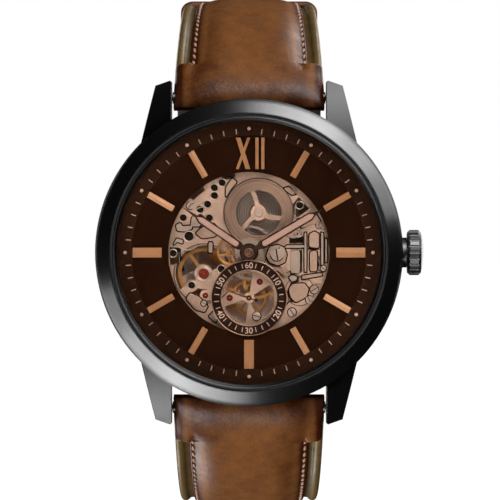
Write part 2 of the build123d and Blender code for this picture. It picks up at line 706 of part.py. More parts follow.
def balance_wheel():
    """Rim, three spokes, rim screws, staff and roller with its impulse pin."""
    inner = BALANCE_RADIUS - BALANCE_RIM
    wheel = tube(BALANCE_RADIUS, inner, BALANCE_Z[0], BALANCE_Z[1], BALANCE)
    wheel += disc(0.6, BALANCE_Z[0], BALANCE_Z[1], BALANCE)
    for n in range(3):
        wheel += bar(BALANCE, polar(inner + 0.1, 120.0 * n + 5.0, BALANCE), 0.5, BALANCE_Z[0], BALANCE_Z[1])
    wheel += disc(0.25, BRIDGE_TOP + LOOSE, PLATE_BOTTOM - LOOSE, BALANCE)
    wheel += disc(PIVOT, BRIDGE_TOP - 0.2, PLATE_BOTTOM + 0.3, BALANCE)
    wheel += disc(0.42, ROLLER_Z[1], ROLLER_Z[1] + 0.15, BALANCE)
    pin = polar(0.36, heading(BALANCE, ESCAPE), BALANCE)
    return wheel + disc(0.07, FORK_Z[0], ROLLER_Z[1], pin)


def hairspring():
    return coil(BALANCE, 0.6, HAIRSPRING_RADIUS, HAIRSPRING_TURNS, 0.05, HAIRSPRING_Z[0], HAIRSPRING_Z[1])


# ---- motion works and hands ----
def motion_module():
    return module_for(CENTRE, MINUTE_WHEEL, CANNON_TEETH, MINUTE_WHEEL_TEETH)


def hour_module():
    return module_for(CENTRE, MINUTE_WHEEL, MINUTE_PINION_TEETH, HOUR_TEETH)


def cannon_pinion():
    pinion = gear(CANNON_TEETH, motion_module(), MINUTE_WHEEL_Z[0] - 0.03, MINUTE_WHEEL_Z[1])
    pinion += disc(CANNON_TUBE, MINUTE_WHEEL_Z[1], MINUTE_HAND_Z[1] + 0.05)
    return pinion - disc(CENTRE_ARBOR, PLATE_TOP, MINUTE_HAND_Z[1] + 1)


def minute_wheel():
    phase = meshed(CENTRE, 0.0, CANNON_TEETH, MINUTE_WHEEL, MINUTE_WHEEL_TEETH)
    pitch = motion_module() * MINUTE_WHEEL_TEETH / 2
    low, high = MINUTE_WHEEL_Z
    blank = gear(MINUTE_WHEEL_TEETH, motion_module(), low, high, MINUTE_WHEEL, phase)
    wheel = spoked(blank, pitch, MINUTE_WHEEL_Z[0], MINUTE_WHEEL_Z[1], MINUTE_WHEEL, 4)
    wheel += gear(MINUTE_PINION_TEETH, hour_module(), MINUTE_WHEEL_Z[1], HOUR_WHEEL_Z[1], MINUTE_WHEEL)
    return wheel - disc(0.3 + RUN, MINUTE_WHEEL_Z[0] - EPS, HOUR_WHEEL_Z[1] + EPS, MINUTE_WHEEL)


def hour_wheel():
    phase = meshed(MINUTE_WHEEL, 0.0, MINUTE_PINION_TEETH, CENTRE, HOUR_TEETH)
    wheel = gear(HOUR_TEETH, hour_module(), HOUR_WHEEL_Z[0], HOUR_WHEEL_Z[1], CENTRE, phase)
    wheel += disc(HOUR_TUBE, HOUR_WHEEL_Z[1], HOUR_HAND_Z[1])
    return wheel - disc(CANNON_TUBE + RUN, HOUR_WHEEL_Z[0] - EPS, HOUR_HAND_Z[1] + EPS)


def hand(length, slot, levels, bore, angle):
    """A pointed hand with an open slot for its luminous filling."""
    half = HAND_WIDTH / 2
    wall = half - SLOT_WIDTH / 2
    neck = 0.42
    needle = 0.14
    outline = [
        (0, -neck),
        (slot[0] - 2 * wall - 0.3, -neck),
        (slot[0] - wall, -half),
        (slot[1] - half, -half),
        (slot[1] + wall, -needle - wall / 2),
        (length, -needle / 3),
        (length, needle / 3),
        (slot[1] + wall, needle + wall / 2),
        (slot[1] - half, half),
        (slot[0] - wall, half),
        (slot[0] - 2 * wall - 0.3, neck),
        (0, neck),
    ]
    inside = SLOT_WIDTH / 2
    opening = [
        (slot[0], -inside + wall),
        (slot[0] + wall, -inside),
        (slot[1] - half, -inside),
        (slot[1], -needle / 2),
        (slot[1], needle / 2),
        (slot[1] - half, inside),
        (slot[0] + wall, inside),
        (slot[0], inside - wall),
    ]
    blade = prism(outline, levels[0], levels[1]) + disc(HAND_HUB, levels[0], levels[1])
    blade -= prism(opening, levels[0] - EPS, levels[1] + EPS)
    blade -= disc(bore, levels[0] - EPS, levels[1] + EPS)
    return Rot(0, 0, clock(angle)) * blade


def hour_hand():
    return hand(HOUR_LENGTH, HOUR_SLOT, HOUR_HAND_Z, HOUR_TUBE, HOUR_ANGLE)


def minute_hand():
    return hand(MINUTE_LENGTH, MINUTE_SLOT, MINUTE_HAND_Z, CANNON_TUBE, MINUTE_ANGLE)


def seconds_hand():
    low, high = SECOND_HAND_Z
    blade = prism([(0, -0.13), (SECOND_LENGTH, -0.05), (SECOND_LENGTH, 0.05), (0, 0.13)], low, high)
    blade += block((-1.1, 0), (-0.11, 0.11), (low, high))
    blade += disc(0.27, low, high, (-1.15, 0))
    blade += disc(0.42, low, high)
    blade += disc(0.25, low - 0.3, low)
    blade -= disc(PIVOT, low - 1, high + 1)
    return Pos(FOURTH[0], FOURTH[1], 0) * Rot(0, 0, clock(SECOND_ANGLE)) * blade


# ---- dial ----
def dial_plate():
    dial = tube(DIAL_RADIUS, APERTURE, DIAL_BOTTOM, DIAL_TOP)
    dial += tube(DIAL_RADIUS, TRACK_INNER, DIAL_TOP, DIAL_TOP + TRACK_THICKNESS)
    return dial


def hour_markers():
    """The XII and eleven batons: wide at 3, 6 and 9, and a roof along each."""
    inner = APERTURE + MARKER_GAP
    outer = TRACK_INNER - MARKER_END
    markers = numeral_twelve()
    for hour in range(1, 12):
        width = WIDE_MARKER if hour % 3 == 0 else MARKER_WIDTH
        edge = MARKER_HEIGHT * 0.6
        profile = make_face(Polyline(
            (inner, -width / 2, DIAL_TOP),
            (inner, width / 2, DIAL_TOP),
            (inner, width / 2, DIAL_TOP + edge),
            (inner, 0, DIAL_TOP + MARKER_HEIGHT),
            (inner, -width / 2, DIAL_TOP + edge),
            close=True,
        ))
        baton = extrude(profile, outer - inner, dir=(1, 0, 0))
        markers.append(Rot(0, 0, clock(30.0 * hour)) * baton)
    return markers


def numeral_twelve():
    """An applied XII: two crossed strokes and two bars."""
    low = DIAL_TOP
    high = DIAL_TOP + MARKER_HEIGHT
    left, right = NUMERAL_X_LEFT, NUMERAL_X_RIGHT
    bottom, top = NUMERAL_BOTTOM, NUMERAL_TOP
    falling = [(left, top), (left + NUMERAL_THICK, top), (right, bottom), (right - NUMERAL_THICK, bottom)]
    rising = [(right - NUMERAL_THIN, top), (right, top), (left + NUMERAL_THIN, bottom), (left, bottom)]
    thick = prism(falling, low, high)
    thin = prism(rising, low, high)
    pieces = [thick + thin]
    for x in NUMERAL_BARS:
        pieces.append(block((x, x + NUMERAL_THIN + 0.05), (bottom, top), (low, high)))
    return pieces


def seconds_chapter_ring():
    """The small seconds scale, joined to the boss round the centre."""
    low = DIAL_TOP
    high = DIAL_TOP + SUBDIAL_THICKNESS
    ring = disc(SUBDIAL_OUTER, low, high, FOURTH)
    neck = SUBDIAL_NECK / 2
    ring += block((-neck, neck), (FOURTH[1] + SUBDIAL_INNER, 0), (low, high))
    ring += disc(SUBDIAL_BOSS, low, high)
    ring -= disc(SUBDIAL_INNER, low - EPS, high + EPS, FOURTH)
    return ring - disc(HOUR_TUBE + LOOSE, low - EPS, high + EPS)


# ---- movement frame ----
def jewel_seats():
    """(x, y, outer radius, hole radius) of each jewel in the main plate."""
    seats = [(p[0], p[1], 0.5, PIVOT + RUN / 2) for p in (THIRD, ESCAPE, fork_axis())]
    seats.append((BALANCE[0], BALANCE[1], 0.9, PIVOT + RUN / 2))
    for x, y in ((-6.8, -6.7), (-8.9, -5.2), (-9.5, 2.5), (-6.4, 3.4)):
        seats.append((x, y, 0.45, PIVOT))
    return seats


def screw_seats():
    """Where screws show on the dial side of the main plate."""
    low_right = [(1.18, -9.9), (11.4, -2.5), (10.2, -5.8), (8.0, -5.9), (9.5, -7.4), (6.7, -9.4)]
    return low_right + [(-9.0, 7.4), (7.6, 3.2), (11.0, 4.3)]


def plate_openings():
    low = PLATE_BOTTOM - EPS
    high = PLATE_TOP + EPS
    cuts = [
        disc(4.9, low, high, BARREL),
        disc(5.5, PLATE_TOP - 0.4, high, BARREL),
        sector(4.45, 1.45, 22, 214, low, high, BALANCE),
        sector(4.45, 2.4, 236, 284, low, high, BALANCE),
        sector(3.95, 0.85, 82, 162, low, high, FOURTH),
        sector(3.95, 0.85, -68, 32, low, high, FOURTH),
        sector(3.95, 0.85, 200, 262, low, high, FOURTH),
        disc(CENTRE_ARBOR + LOOSE, low, high),
        disc(PIVOT + RUN, low, high, FOURTH),
        sector(11.6, 9.2, 36, 48, low, high),
        sector(12.9, 11.9, 100, 110, low, high),
        sector(12.9, 11.9, 125, 137, low, high),
        sector(9.9, 8.4, 141, 154, low, high),
        sector(12.4, 10.6, 176, 189, low, high),
    ]
    cuts += [disc(0.5, low, high, p) for p in PLATE_HOLES]
    cuts += [block(x, y, (low, high)) for x, y in PLATE_SLOTS]
    return cuts


PLATE_HOLES = (
    (-10.25, 5.4), (-6.4, 7.6), (-5.4, 8.9), (-5.4, 10.15), (-4.1, 10.9), (-7.6, 6.7), (-6.15, 5.2),
)
PLATE_SLOTS = (
    ((6.3, 8.6), (1.5, 2.5)), ((9.2, 11.0), (0.4, 2.6)), ((9.3, 11.0), (-2.1, -0.5)),
    ((6.6, 8.3), (-3.0, 0.4)), ((6.4, 7.8), (-7.8, -3.8)),
)


def main_plate():
    plate = disc(MOVEMENT_RADIUS, PLATE_BOTTOM, PLATE_TOP)
    plate += tube(MOVEMENT_RADIUS, SKIRT_INNER, BRIDGE_TOP, PLATE_BOTTOM)
    for cut in plate_openings():
        plate -= cut
    for x, y, outer, inner in jewel_seats():
        plate += disc(outer + 0.45, PLATE_BOTTOM, PLATE_TOP, (x, y))
    for x, y, outer, inner in jewel_seats():
        plate -= disc(outer, PLATE_BOTTOM - EPS, PLATE_TOP + EPS, (x, y))
    for spot in screw_seats():
        plate -= disc(0.62, PLATE_TOP - 0.3, PLATE_TOP + EPS, spot)
    plate += block((BLOCK_X[0], BLOCK_X[1]), (-1.0, 1.0), (STEM_Z - 0.7, PLATE_BOTTOM))
    plate += block((CLUTCH_X[0] - 0.9, CLUTCH_X[0] - LOOSE), (-0.8, 0.8), (STEM_Z - 0.6, PLATE_BOTTOM))
    plate -= along_x(0.5 + RUN, CLUTCH_X[0] - 2, MOVEMENT_RADIUS)
    plate -= along_x(STEM_RADIUS + RUN, SKIRT_INNER - 1, MOVEMENT_RADIUS + 1)
    plate += disc(0.3, STEM_Z + STEM_RADIUS + 0.1, PLATE_BOTTOM, lever_axis())
    plate += disc(0.3, PLATE_TOP, HOUR_WHEEL_Z[1], MINUTE_WHEEL)
    return plate


def barrel_spider():
    """The open bridge over the barrel: a ring and three curved arms."""
    low = PLATE_TOP - 0.4
    high = PLATE_TOP
    spider = tube(5.45, 4.75, low, high, BARREL)
    spider += disc(1.25, low, high, BARREL)
    for n in range(3):
        spider += curved_arm(BARREL, 100.0 + 120.0 * n, low, high)
    return spider - disc(0.6 + RUN, low - EPS, high + EPS, BARREL)


def curved_arm(at, start, low, high):
    """An arm that bends as it runs from a hub to a ring."""
    inner, middle, outer = 0.9, 2.9, 5.0
    left = [polar(inner, start - 25, at), polar(middle, start - 3, at), polar(outer, start + 7, at)]
    right = [polar(inner, start + 25, at), polar(middle, start + 11, at), polar(outer, start + 17, at)]
    outline = [ThreePointArc(*left), Line(left[2], right[2]), ThreePointArc(*right), Line(right[0], left[0])]
    return extrude(Pos(0, 0, low) * make_face(outline), high - low)


def keyless_cover():
    """The spring plate over the keyless works, on the dial side."""
    low = PLATE_TOP
    high = PLATE_TOP + 0.25
    cover = sector(12.3, 3.4, -24, 24, low, high)
    cover -= block((6.3, 8.6), (1.4, 2.6), (low - EPS, high + EPS))
    cover -= block((9.2, 11.0), (0.4, 2.7), (low - EPS, high + EPS))
    cover -= block((9.3, 11.0), (-2.2, -0.5), (low - EPS, high + EPS))
    cover -= block((6.6, 8.3), (-3.1, 0.4), (low - EPS, high + EPS))
    for spot in screw_seats():
        cover -= disc(0.72, low - EPS, high + EPS, spot)
    return cover


def barrel_bridge():
    """Carries the barrel's arbor and the ratchet and crown wheels."""
    bridge = sector(BRIDGE_RADIUS, 0, 12, 168, BRIDGE_BOTTOM, BRIDGE_TOP)
    bridge -= disc(2.2, BRIDGE_BOTTOM - EPS, BRIDGE_TOP + EPS)
    bridge -= disc(0.6 + RUN, BRIDGE_BOTTOM - EPS, BRIDGE_TOP + EPS, BARREL)
    bridge -= keyless_room()
    bridge -= sector(11.8, 8.4, 112, 132, BRIDGE_BOTTOM - EPS, BRIDGE_TOP + EPS)
    bridge -= sector(11.8, 8.4, 138, 156, BRIDGE_BOTTOM - EPS, BRIDGE_TOP + EPS)
    bridge += disc(0.25, BRIDGE_BOTTOM - 0.45, BRIDGE_BOTTOM, click_axis())
    bridge += disc(0.4, BRIDGE_BOTTOM - 0.45, BRIDGE_BOTTOM, reduction_axis())
    return bridge


def keyless_room():
    """The space that the pinion, clutch and stem turn in."""
    room = block((CLUTCH_X[0] - 1.0, BLOCK_X[1] + 0.3), (-1.5, 1.5), (BRIDGE_BOTTOM - 1, PLATE_BOTTOM))
    return room + along_x(STEM_RADIUS + 2 * LOOSE, BLOCK_X[0], MOVEMENT_RADIUS + 1)


def train_bridge():
    """Carries the back pivots of the centre, third, fourth and escape wheels."""
    bridge = sector(BRIDGE_RADIUS, 0, -168, 9, BRIDGE_BOTTOM, BRIDGE_TOP)
    bridge += disc(2.1, BRIDGE_BOTTOM, BRIDGE_TOP)
    bridge -= disc(BALANCE_RADIUS + 0.5, BRIDGE_BOTTOM - EPS, BRIDGE_TOP + EPS, BALANCE)
    bridge -= sector(MOVEMENT_RADIUS, 9.4, -170, -137, BRIDGE_BOTTOM - EPS, BRIDGE_TOP + EPS)
    bridge -= sector(MOVEMENT_RADIUS, 2.5, -170, -152, BRIDGE_BOTTOM - EPS, BRIDGE_TOP + EPS)
    bridge -= keyless_room()
    for spot in (CENTRE, THIRD, FOURTH, ESCAPE):
        bridge -= disc(0.5, BRIDGE_BOTTOM - EPS, BRIDGE_TOP + EPS, spot)
    bridge -= sector(11.6, 7.6, -52, -30, BRIDGE_BOTTOM - EPS, BRIDGE_TOP + EPS)
    return bridge + disc(POST, BRIDGE_BOTTOM - 0.45, BRIDGE_BOTTOM, CROWN_WHEEL)


def balance_cock():
    """An arm from the rim to the balance staff's back pivot."""
    foot = heading(CENTRE, BALANCE)
    cock = sector(BRIDGE_RADIUS, 12.2, foot - 14, foot + 14, BRIDGE_BOTTOM, BRIDGE_TOP)
    cock += bar(BALANCE, polar(12.8, foot), 2.2, BRIDGE_BOTTOM, BRIDGE_TOP)
    cock += disc(1.5, BRIDGE_BOTTOM, BRIDGE_TOP, BALANCE)
    return cock - disc(0.5, BRIDGE_BOTTOM - EPS, BRIDGE_TOP + EPS, BALANCE)


def pallet_bridge():
    """A small bridge, hung from the main plate, for the fork's back pivot."""
    axis = fork_axis()
    across = heading(ESCAPE, BALANCE) + 90.0
    ends = (polar(2.5, across, axis), polar(-1.95, across, axis))
    low = BALANCE_Z[1] + 0.15
    high = FORK_Z[0] - LOOSE
    bridge = bar(ends[0], ends[1], 0.8, low, high)
    for spot in ends:
        bridge += disc(0.4, low, PLATE_BOTTOM, spot)
    return bridge - disc(PIVOT + RUN / 2, low - EPS, high + EPS, axis)


def automatic_bridge():
    """Holds the rotor's hub and the reverser."""
    bridge = disc(AUTO_RADIUS, AUTO_BOTTOM, AUTO_TOP)
    bridge -= disc(ROTOR_HUB + RUN, AUTO_BOTTOM - EPS, AUTO_TOP + EPS)
    bridge -= sector(AUTO_RADIUS - 1.6, 4.6, 30, 112, AUTO_BOTTOM - EPS, AUTO_TOP + EPS)
    bridge -= sector(AUTO_RADIUS - 1.6, 4.6, 205, 262, AUTO_BOTTOM - EPS, AUTO_TOP + EPS)
    bridge -= sector(AUTO_RADIUS - 1.6, 4.6, 278, 335, AUTO_BOTTOM - EPS, AUTO_TOP + EPS)
    bridge += disc(0.4, AUTO_TOP, BRIDGE_BOTTOM - LOOSE, REVERSER)
    for spot in AUTO_POSTS:
        bridge += disc(0.7, AUTO_TOP, BRIDGE_BOTTOM, spot)
    return bridge


AUTO_POSTS = ((-9.3, -1.2), (9.0, -4.2), (0.6, -9.6))


def rotor_module():
    return module_for(CENTRE, REVERSER, ROTOR_GEAR_TEETH, REVERSER_TEETH)


def rotor():
    """The winding weight; it hangs toward 6 o'clock."""
    weight = sector(ROTOR_RADIUS, ROTOR_WEIGHT_INNER, 180, 360, ROTOR_WEIGHT_Z[0], ROTOR_WEIGHT_Z[1])
    weight += sector(ROTOR_WEIGHT_INNER + 0.5, ROTOR_HUB, 196, 344, ROTOR_PLATE_Z[0], ROTOR_PLATE_Z[1])
    for start in (206, 248, 290):
        low, high = ROTOR_PLATE_Z[0] - EPS, ROTOR_PLATE_Z[1] + EPS
        gap = sector(ROTOR_WEIGHT_INNER - 1, 4.4, start, start + 30, low, high)
        weight -= gap
    weight += disc(ROTOR_CAP, ROTOR_PLATE_Z[0], ROTOR_PLATE_Z[1])
    weight += disc(ROTOR_HUB, ROTOR_PLATE_Z[1], ROTOR_GEAR_Z[0])
    return weight + gear(ROTOR_GEAR_TEETH, rotor_module(), ROTOR_GEAR_Z[0], ROTOR_GEAR_Z[1])


def reverser_wheel():
    """The half of the reverser that the rotor turns."""
    phase = meshed(CENTRE, 0.0, ROTOR_GEAR_TEETH, REVERSER, REVERSER_TEETH)
    wheel = gear(REVERSER_TEETH, rotor_module(), ROTOR_GEAR_Z[0], ROTOR_GEAR_Z[1], REVERSER, phase)
    return wheel - disc(0.4 + RUN, ROTOR_GEAR_Z[0] - EPS, ROTOR_GEAR_Z[1] + EPS, REVERSER)


def reverser_pinion():
    """The half of the reverser that turns the reduction wheel."""
    phase = meshed(reduction_axis(), reduction_phase(), REDUCTION_TEETH, REVERSER, REVERSER_PINION_TEETH)
    low, high = RATCHET_Z[0], RATCHET_Z[1] - 0.05
    pinion = gear(REVERSER_PINION_TEETH, ratchet_module(), low, high, REVERSER, phase)
    return pinion - disc(0.4 + RUN, RATCHET_Z[0] - EPS, RATCHET_Z[1] + EPS, REVERSER)


def reduction_axis():
    """Where the reduction wheel meshes both the ratchet wheel and the reverser."""
    to_barrel = ratchet_module() * (RATCHET_TEETH + REDUCTION_TEETH) / 2
    to_reverser = ratchet_module() * (REVERSER_PINION_TEETH + REDUCTION_TEETH) / 2
    apart = math.dist(BARREL, REVERSER)
    along = (to_barrel**2 - to_reverser**2 + apart**2) / (2 * apart)
    off = math.degrees(math.acos(along / to_barrel))
    return polar(to_barrel, heading(BARREL, REVERSER) - off, BARREL)


def reduction_phase():
    return meshed(BARREL, 0.0, RATCHET_TEETH, reduction_axis(), REDUCTION_TEETH)


def reduction_wheel():
    spot = reduction_axis()
    wheel = gear(REDUCTION_TEETH, ratchet_module(), RATCHET_Z[0], RATCHET_Z[1], spot, reduction_phase())
    return wheel - disc(0.4 + RUN, RATCHET_Z[0] - EPS, RATCHET_Z[1] + EPS, spot)


def jewels():
    """Ring-shaped bearings in the main plate, the bridges and the cock."""
    stones = []
    for x, y, outer, inner in jewel_seats():
        stones.append(tube(outer, inner, PLATE_BOTTOM + 0.05, PLATE_TOP - 0.05, (x, y)))
    slim = [(spot, PIVOT) for spot in (THIRD, FOURTH, ESCAPE, BALANCE)]
    for spot, hole in [(CENTRE, 2 * PIVOT)] + slim:
        stones.append(tube(0.5, hole + RUN / 2, BRIDGE_BOTTOM + 0.05, BRIDGE_TOP, spot))
    return stones


def screw(spot, head_low, head_high, radius, slot_angle, slot_up):
    """A slotted cheese-head screw."""
    head = disc(radius, head_low, head_high, spot)
    deep = (head_high - 0.12, head_high + EPS) if slot_up else (head_low - EPS, head_low + 0.12)
    slot = block((-2 * radius, 2 * radius), (-0.1, 0.1), deep)
    return head - Pos(spot[0], spot[1], 0) * Rot(0, 0, slot_angle) * slot


def movement_screws():
    screws = []
    for n, spot in enumerate(screw_seats()):
        screws.append(screw(spot, PLATE_TOP - 0.3, PLATE_TOP + 0.1, 0.6, 37.0 * n, True))
    screws.append(screw((4.42, 0.0), PLATE_TOP + 0.25, PLATE_TOP + 0.5, 1.15, 70.0, True))
    for angle in (38, 86, 158, -20, -88, -128, -154):
        spot = polar(MOVEMENT_RADIUS - 1.3, angle)
        screws.append(screw(spot, BRIDGE_BOTTOM - 0.35, BRIDGE_BOTTOM, 0.75, 23.0 * angle, False))
    return screws


# ---- strap ----
def ring_centre_z():
    return BAR_Z - math.sqrt(STRAP_RADIUS**2 - BAR_Y**2)


def bar_angle():
    """The spring bar's place on the strap ring, in degrees from the dial's normal."""
    return math.degrees(math.asin(BAR_Y / STRAP_RADIUS))


def short_arc():
    """Degrees from the spring bar to the end of the half with the buckle."""
    return SHORT_END - bar_angle()


def long_arc():
    """Degrees from the spring bar to the tip of the half with the holes."""
    return LONG_END - bar_angle()


def ring_point(angle, radius=STRAP_RADIUS):
    a = math.radians(angle)
    return (0, radius * math.sin(a), ring_centre_z() + radius * math.cos(a))


def ring_plane(angle):
    """A cross-section of the strap: x across it, y away from the wrist."""
    a = math.radians(angle)
    return Plane(origin=ring_point(angle), x_dir=(1, 0, 0), z_dir=(0, -math.cos(a), math.sin(a)))


def strap_width(share):
    """Full at the lugs, narrowing over the first two thirds."""
    return STRAP_WIDTH - (STRAP_WIDTH - STRAP_END_WIDTH) * min(1.0, share * 1.5)


def strap_stations(side, arc, start=0.0):
    steps = math.ceil((arc - start) / SECTION_STEP)
    return [(start + (arc - start) * n / steps) / arc for n in range(steps + 1)]


def leather_section(side, arc, share):
    half = strap_width(share) / 2
    edge = LEATHER_EDGE
    middle = LEATHER_MIDDLE + (LEATHER_TIP - LEATHER_MIDDLE) * share
    slope = EDGE_BAND + 1.5
    outline = Polyline(
        (-half, 0), (half, 0), (half, edge), (half - EDGE_BAND, edge + 0.1), (half - slope, middle),
        (slope - half, middle), (EDGE_BAND - half, edge + 0.1), (-half, edge), close=True)
    return ring_plane(side * (bar_angle() + arc * share)) * make_face(outline)


def lining_section(side, arc, share):
    half = strap_width(share) / 2
    outline = Polyline((-half, -LINING), (half, -LINING), (half, 0), (-half, 0), close=True)
    return ring_plane(side * (bar_angle() + arc * share)) * make_face(outline)


def leather(side, arc):
    """The padded upper leather, rolled round the spring bar."""
    body = loft([leather_section(side, arc, s) for s in strap_stations(side, arc)])
    half = STRAP_WIDTH / 2
    body += along_x(ROLL_RADIUS, -half, half, side * BAR_Y, BAR_Z)
    return body - along_x(BAR_RADIUS + LOOSE, -half - 1, half + 1, side * BAR_Y, BAR_Z)


def lining(side, arc):
    body = loft([lining_section(side, arc, s) for s in strap_stations(side, arc, ROLL_RADIUS * 1.6)])
    return body - along_x(ROLL_RADIUS, -STRAP_WIDTH, STRAP_WIDTH, side * BAR_Y, BAR_Z)


def buckle_point():
    return ring_point(SHORT_END)


def buckle_cut():
    """The room that the buckle's bar and tongue need in the strap's end."""
    spot = buckle_point()
    half = STRAP_END_WIDTH / 2
    cut = along_x(BUCKLE_BAR + RUN, -half - 1, half + 1, spot[1], spot[2])
    gap = TONGUE_WIDTH / 2 + LOOSE
    return cut + along_x(BUCKLE_ROLL + 1.6, -gap, gap, spot[1], spot[2])


def strap_12_leather():
    spot = buckle_point()
    half = STRAP_END_WIDTH / 2
    roll = along_x(BUCKLE_ROLL, -half, half, spot[1], spot[2])
    return leather(1, short_arc()) + roll - buckle_cut()


def strap_12_lining():
    spot = buckle_point()
    room = along_x(BUCKLE_ROLL, -STRAP_WIDTH, STRAP_WIDTH, spot[1], spot[2])
    return lining(1, short_arc()) - room - buckle_cut()


def strap_holes():
    """Tools for the adjustment holes, one behind another."""
    tools = []
    low = (Align.CENTER, Align.CENTER, Align.CENTER)
    for n in range(HOLES):
        angle = -(LONG_END - FIRST_HOLE - HOLE_PITCH * n)
        through = Rot(-90, 0, 0) * Cylinder(HOLE_RADIUS, 12, align=low)
        tools.append(ring_plane(angle).location * through)
    return tools


def tip_trim():
    """The corners that are cut off to round the long strap's end."""
    half = STRAP_END_WIDTH / 2
    corners = block((-half - 1, half + 1), (-6, 6), (-half, 1))
    low = (Align.CENTER, Align.CENTER, Align.CENTER)
    corners -= Pos(0, 0, -half) * Rot(90, 0, 0) * Cylinder(half, 14, align=low)
    return ring_plane(-LONG_END).location * corners


def strap_6_leather():
    body = leather(-1, long_arc()) - tip_trim()
    for tool in strap_holes():
        body -= tool
    return body


def strap_6_lining():
    body = lining(-1, long_arc()) - tip_trim()
    for tool in strap_holes():
        body -= tool
    return body


def keeper(back):
    """A leather loop round the strap, this far along it from its buckle end."""
    angle = SHORT_END - math.degrees(back / STRAP_RADIUS)
    share = (angle - bar_angle()) / short_arc()
    half = strap_width(share) / 2 + 0.4
    low = -LINING - KEEPER_SLACK
    high = LEATHER_MIDDLE + (LEATHER_TIP - LEATHER_MIDDLE) * share + KEEPER_ROOM
    wall = KEEPER_WALL
    length = (-KEEPER_LENGTH / 2, KEEPER_LENGTH / 2)
    outer = block((-half - wall, half + wall), (low - wall, high + wall), length)
    inner = block((-half, half), (low, high), (-KEEPER_LENGTH, KEEPER_LENGTH))
    return ring_plane(angle).location * (outer - inner)


def keeper_fixed():
    return keeper(FIXED_KEEPER_BACK)


def keeper_sliding():
    return keeper(SLIDING_KEEPER_BACK)


def spring_bars():
    """The two bars that hold the strap, with a pin in each lug."""
    bars = []
    for side in (-1, 1):
        half = LUG_GAP / 2 - LOOSE
        one = along_x(BAR_RADIUS, -half, half, side * BAR_Y, BAR_Z)
        one += along_x(BAR_PIN, -half - 1.1, half + 1.1, side * BAR_Y, BAR_Z)
        bars.append(one)
    return bars


def buckle_frame_place():
    """The buckle's own axes: x across, y away from the wrist, z back along the strap."""
    return ring_plane(SHORT_END).location


def buckle_frame():
    half = STRAP_END_WIDTH / 2 + BUCKLE_GAP
    arm = BUCKLE_ARM
    thick = BUCKLE_THICKNESS / 2
    frame = block((-half - arm, half + arm), (-thick, thick), (-BUCKLE_LENGTH, 1.4))
    frame -= block((-half, half), (-2 * thick, 2 * thick), (-BUCKLE_LENGTH + arm, 2))
    frame = fillet(frame.edges().filter_by(Axis.Y).group_by(Axis.Z)[0], 1.6)
    frame -= Rot(0, 90, 0) * Cylinder(BUCKLE_BAR + RUN, 4 * half)
    return buckle_frame_place() * frame


def buckle_bar():
    half = STRAP_END_WIDTH / 2 + BUCKLE_GAP + BUCKLE_ARM
    return buckle_frame_place() * (Rot(0, 90, 0) * Cylinder(BUCKLE_BAR, 2 * half))


def buckle_tongue():
    half = TONGUE_WIDTH / 2
    rise = BUCKLE_THICKNESS / 2 + RUN
    tongue = Rot(0, 90, 0) * Cylinder(BUCKLE_BAR + 0.7, TONGUE_WIDTH)
    tongue += block((-half, half), (rise, rise + TONGUE_THICKNESS), (-BUCKLE_LENGTH, 0))
    tongue -= Rot(0, 90, 0) * Cylinder(BUCKLE_BAR + RUN, 2 * TONGUE_WIDTH)
    return buckle_frame_place() * tongue


NODES = (
    case_middle, bezel, crystal, crystal_gasket, case_back, case_back_window, movement_holder,
    crown_tube, crown, crown_gasket, winding_stem, winding_pinion, sliding_clutch, setting_lever,
    crown_wheel, ratchet_wheel, barrel_arbor, barrel_drum, mainspring, click,
    center_wheel, third_wheel, fourth_wheel, escape_wheel, pallet_fork, balance_wheel, hairspring,
    cannon_pinion, minute_wheel, hour_wheel, hour_hand, minute_hand, seconds_hand,
    dial_plate, hour_markers, seconds_chapter_ring,
    main_plate, barrel_spider, keyless_cover, barrel_bridge, train_bridge, balance_cock, pallet_bridge,
    automatic_bridge, rotor, reverser_wheel, reverser_pinion, reduction_wheel, jewels, movement_screws,
    strap_12_leather, strap_12_lining, strap_6_leather, strap_6_lining, keeper_fixed, keeper_sliding,
    spring_bars, buckle_frame, buckle_bar, buckle_tongue,
)


def solids_of(shape):
    pieces = shape if isinstance(shape, list) else [shape]
    return [solid for piece in pieces for solid in piece.solids()]


def export(node):
    solids = [upright(solid) for solid in solids_of(node())]
    shape = solids[0] if len(solids) == 1 else Compound(children=solids)
    export_step(shape, os.path.join("parts", node.__name__ + ".step"))


os.makedirs("parts", exist_ok=True)
for node in NODES:
    export(node)
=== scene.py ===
import math

import bmesh
import bpy
from mathutils import Matrix, Vector


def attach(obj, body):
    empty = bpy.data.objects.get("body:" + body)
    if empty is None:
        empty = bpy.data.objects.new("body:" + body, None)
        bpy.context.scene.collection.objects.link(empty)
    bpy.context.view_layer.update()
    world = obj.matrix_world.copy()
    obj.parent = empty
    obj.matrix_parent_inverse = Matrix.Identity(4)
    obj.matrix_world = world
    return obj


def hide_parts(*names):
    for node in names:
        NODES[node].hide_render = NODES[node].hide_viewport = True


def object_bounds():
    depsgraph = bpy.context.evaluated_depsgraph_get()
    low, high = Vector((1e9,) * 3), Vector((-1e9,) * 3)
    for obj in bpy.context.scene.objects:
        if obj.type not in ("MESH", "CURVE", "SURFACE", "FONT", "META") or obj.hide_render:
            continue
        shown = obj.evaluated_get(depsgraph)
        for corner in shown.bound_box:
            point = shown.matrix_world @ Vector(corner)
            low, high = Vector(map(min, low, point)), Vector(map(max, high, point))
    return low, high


bl_info = {
    "name": "Skeleton wristwatch",
    "version": (1, 0, 0),
    "blender": (4, 5, 0),
    "location": "View3D > Sidebar > Watch",
    "description": "Leather, dial printing and finishes for a skeleton wristwatch",
    "category": "Object",
}

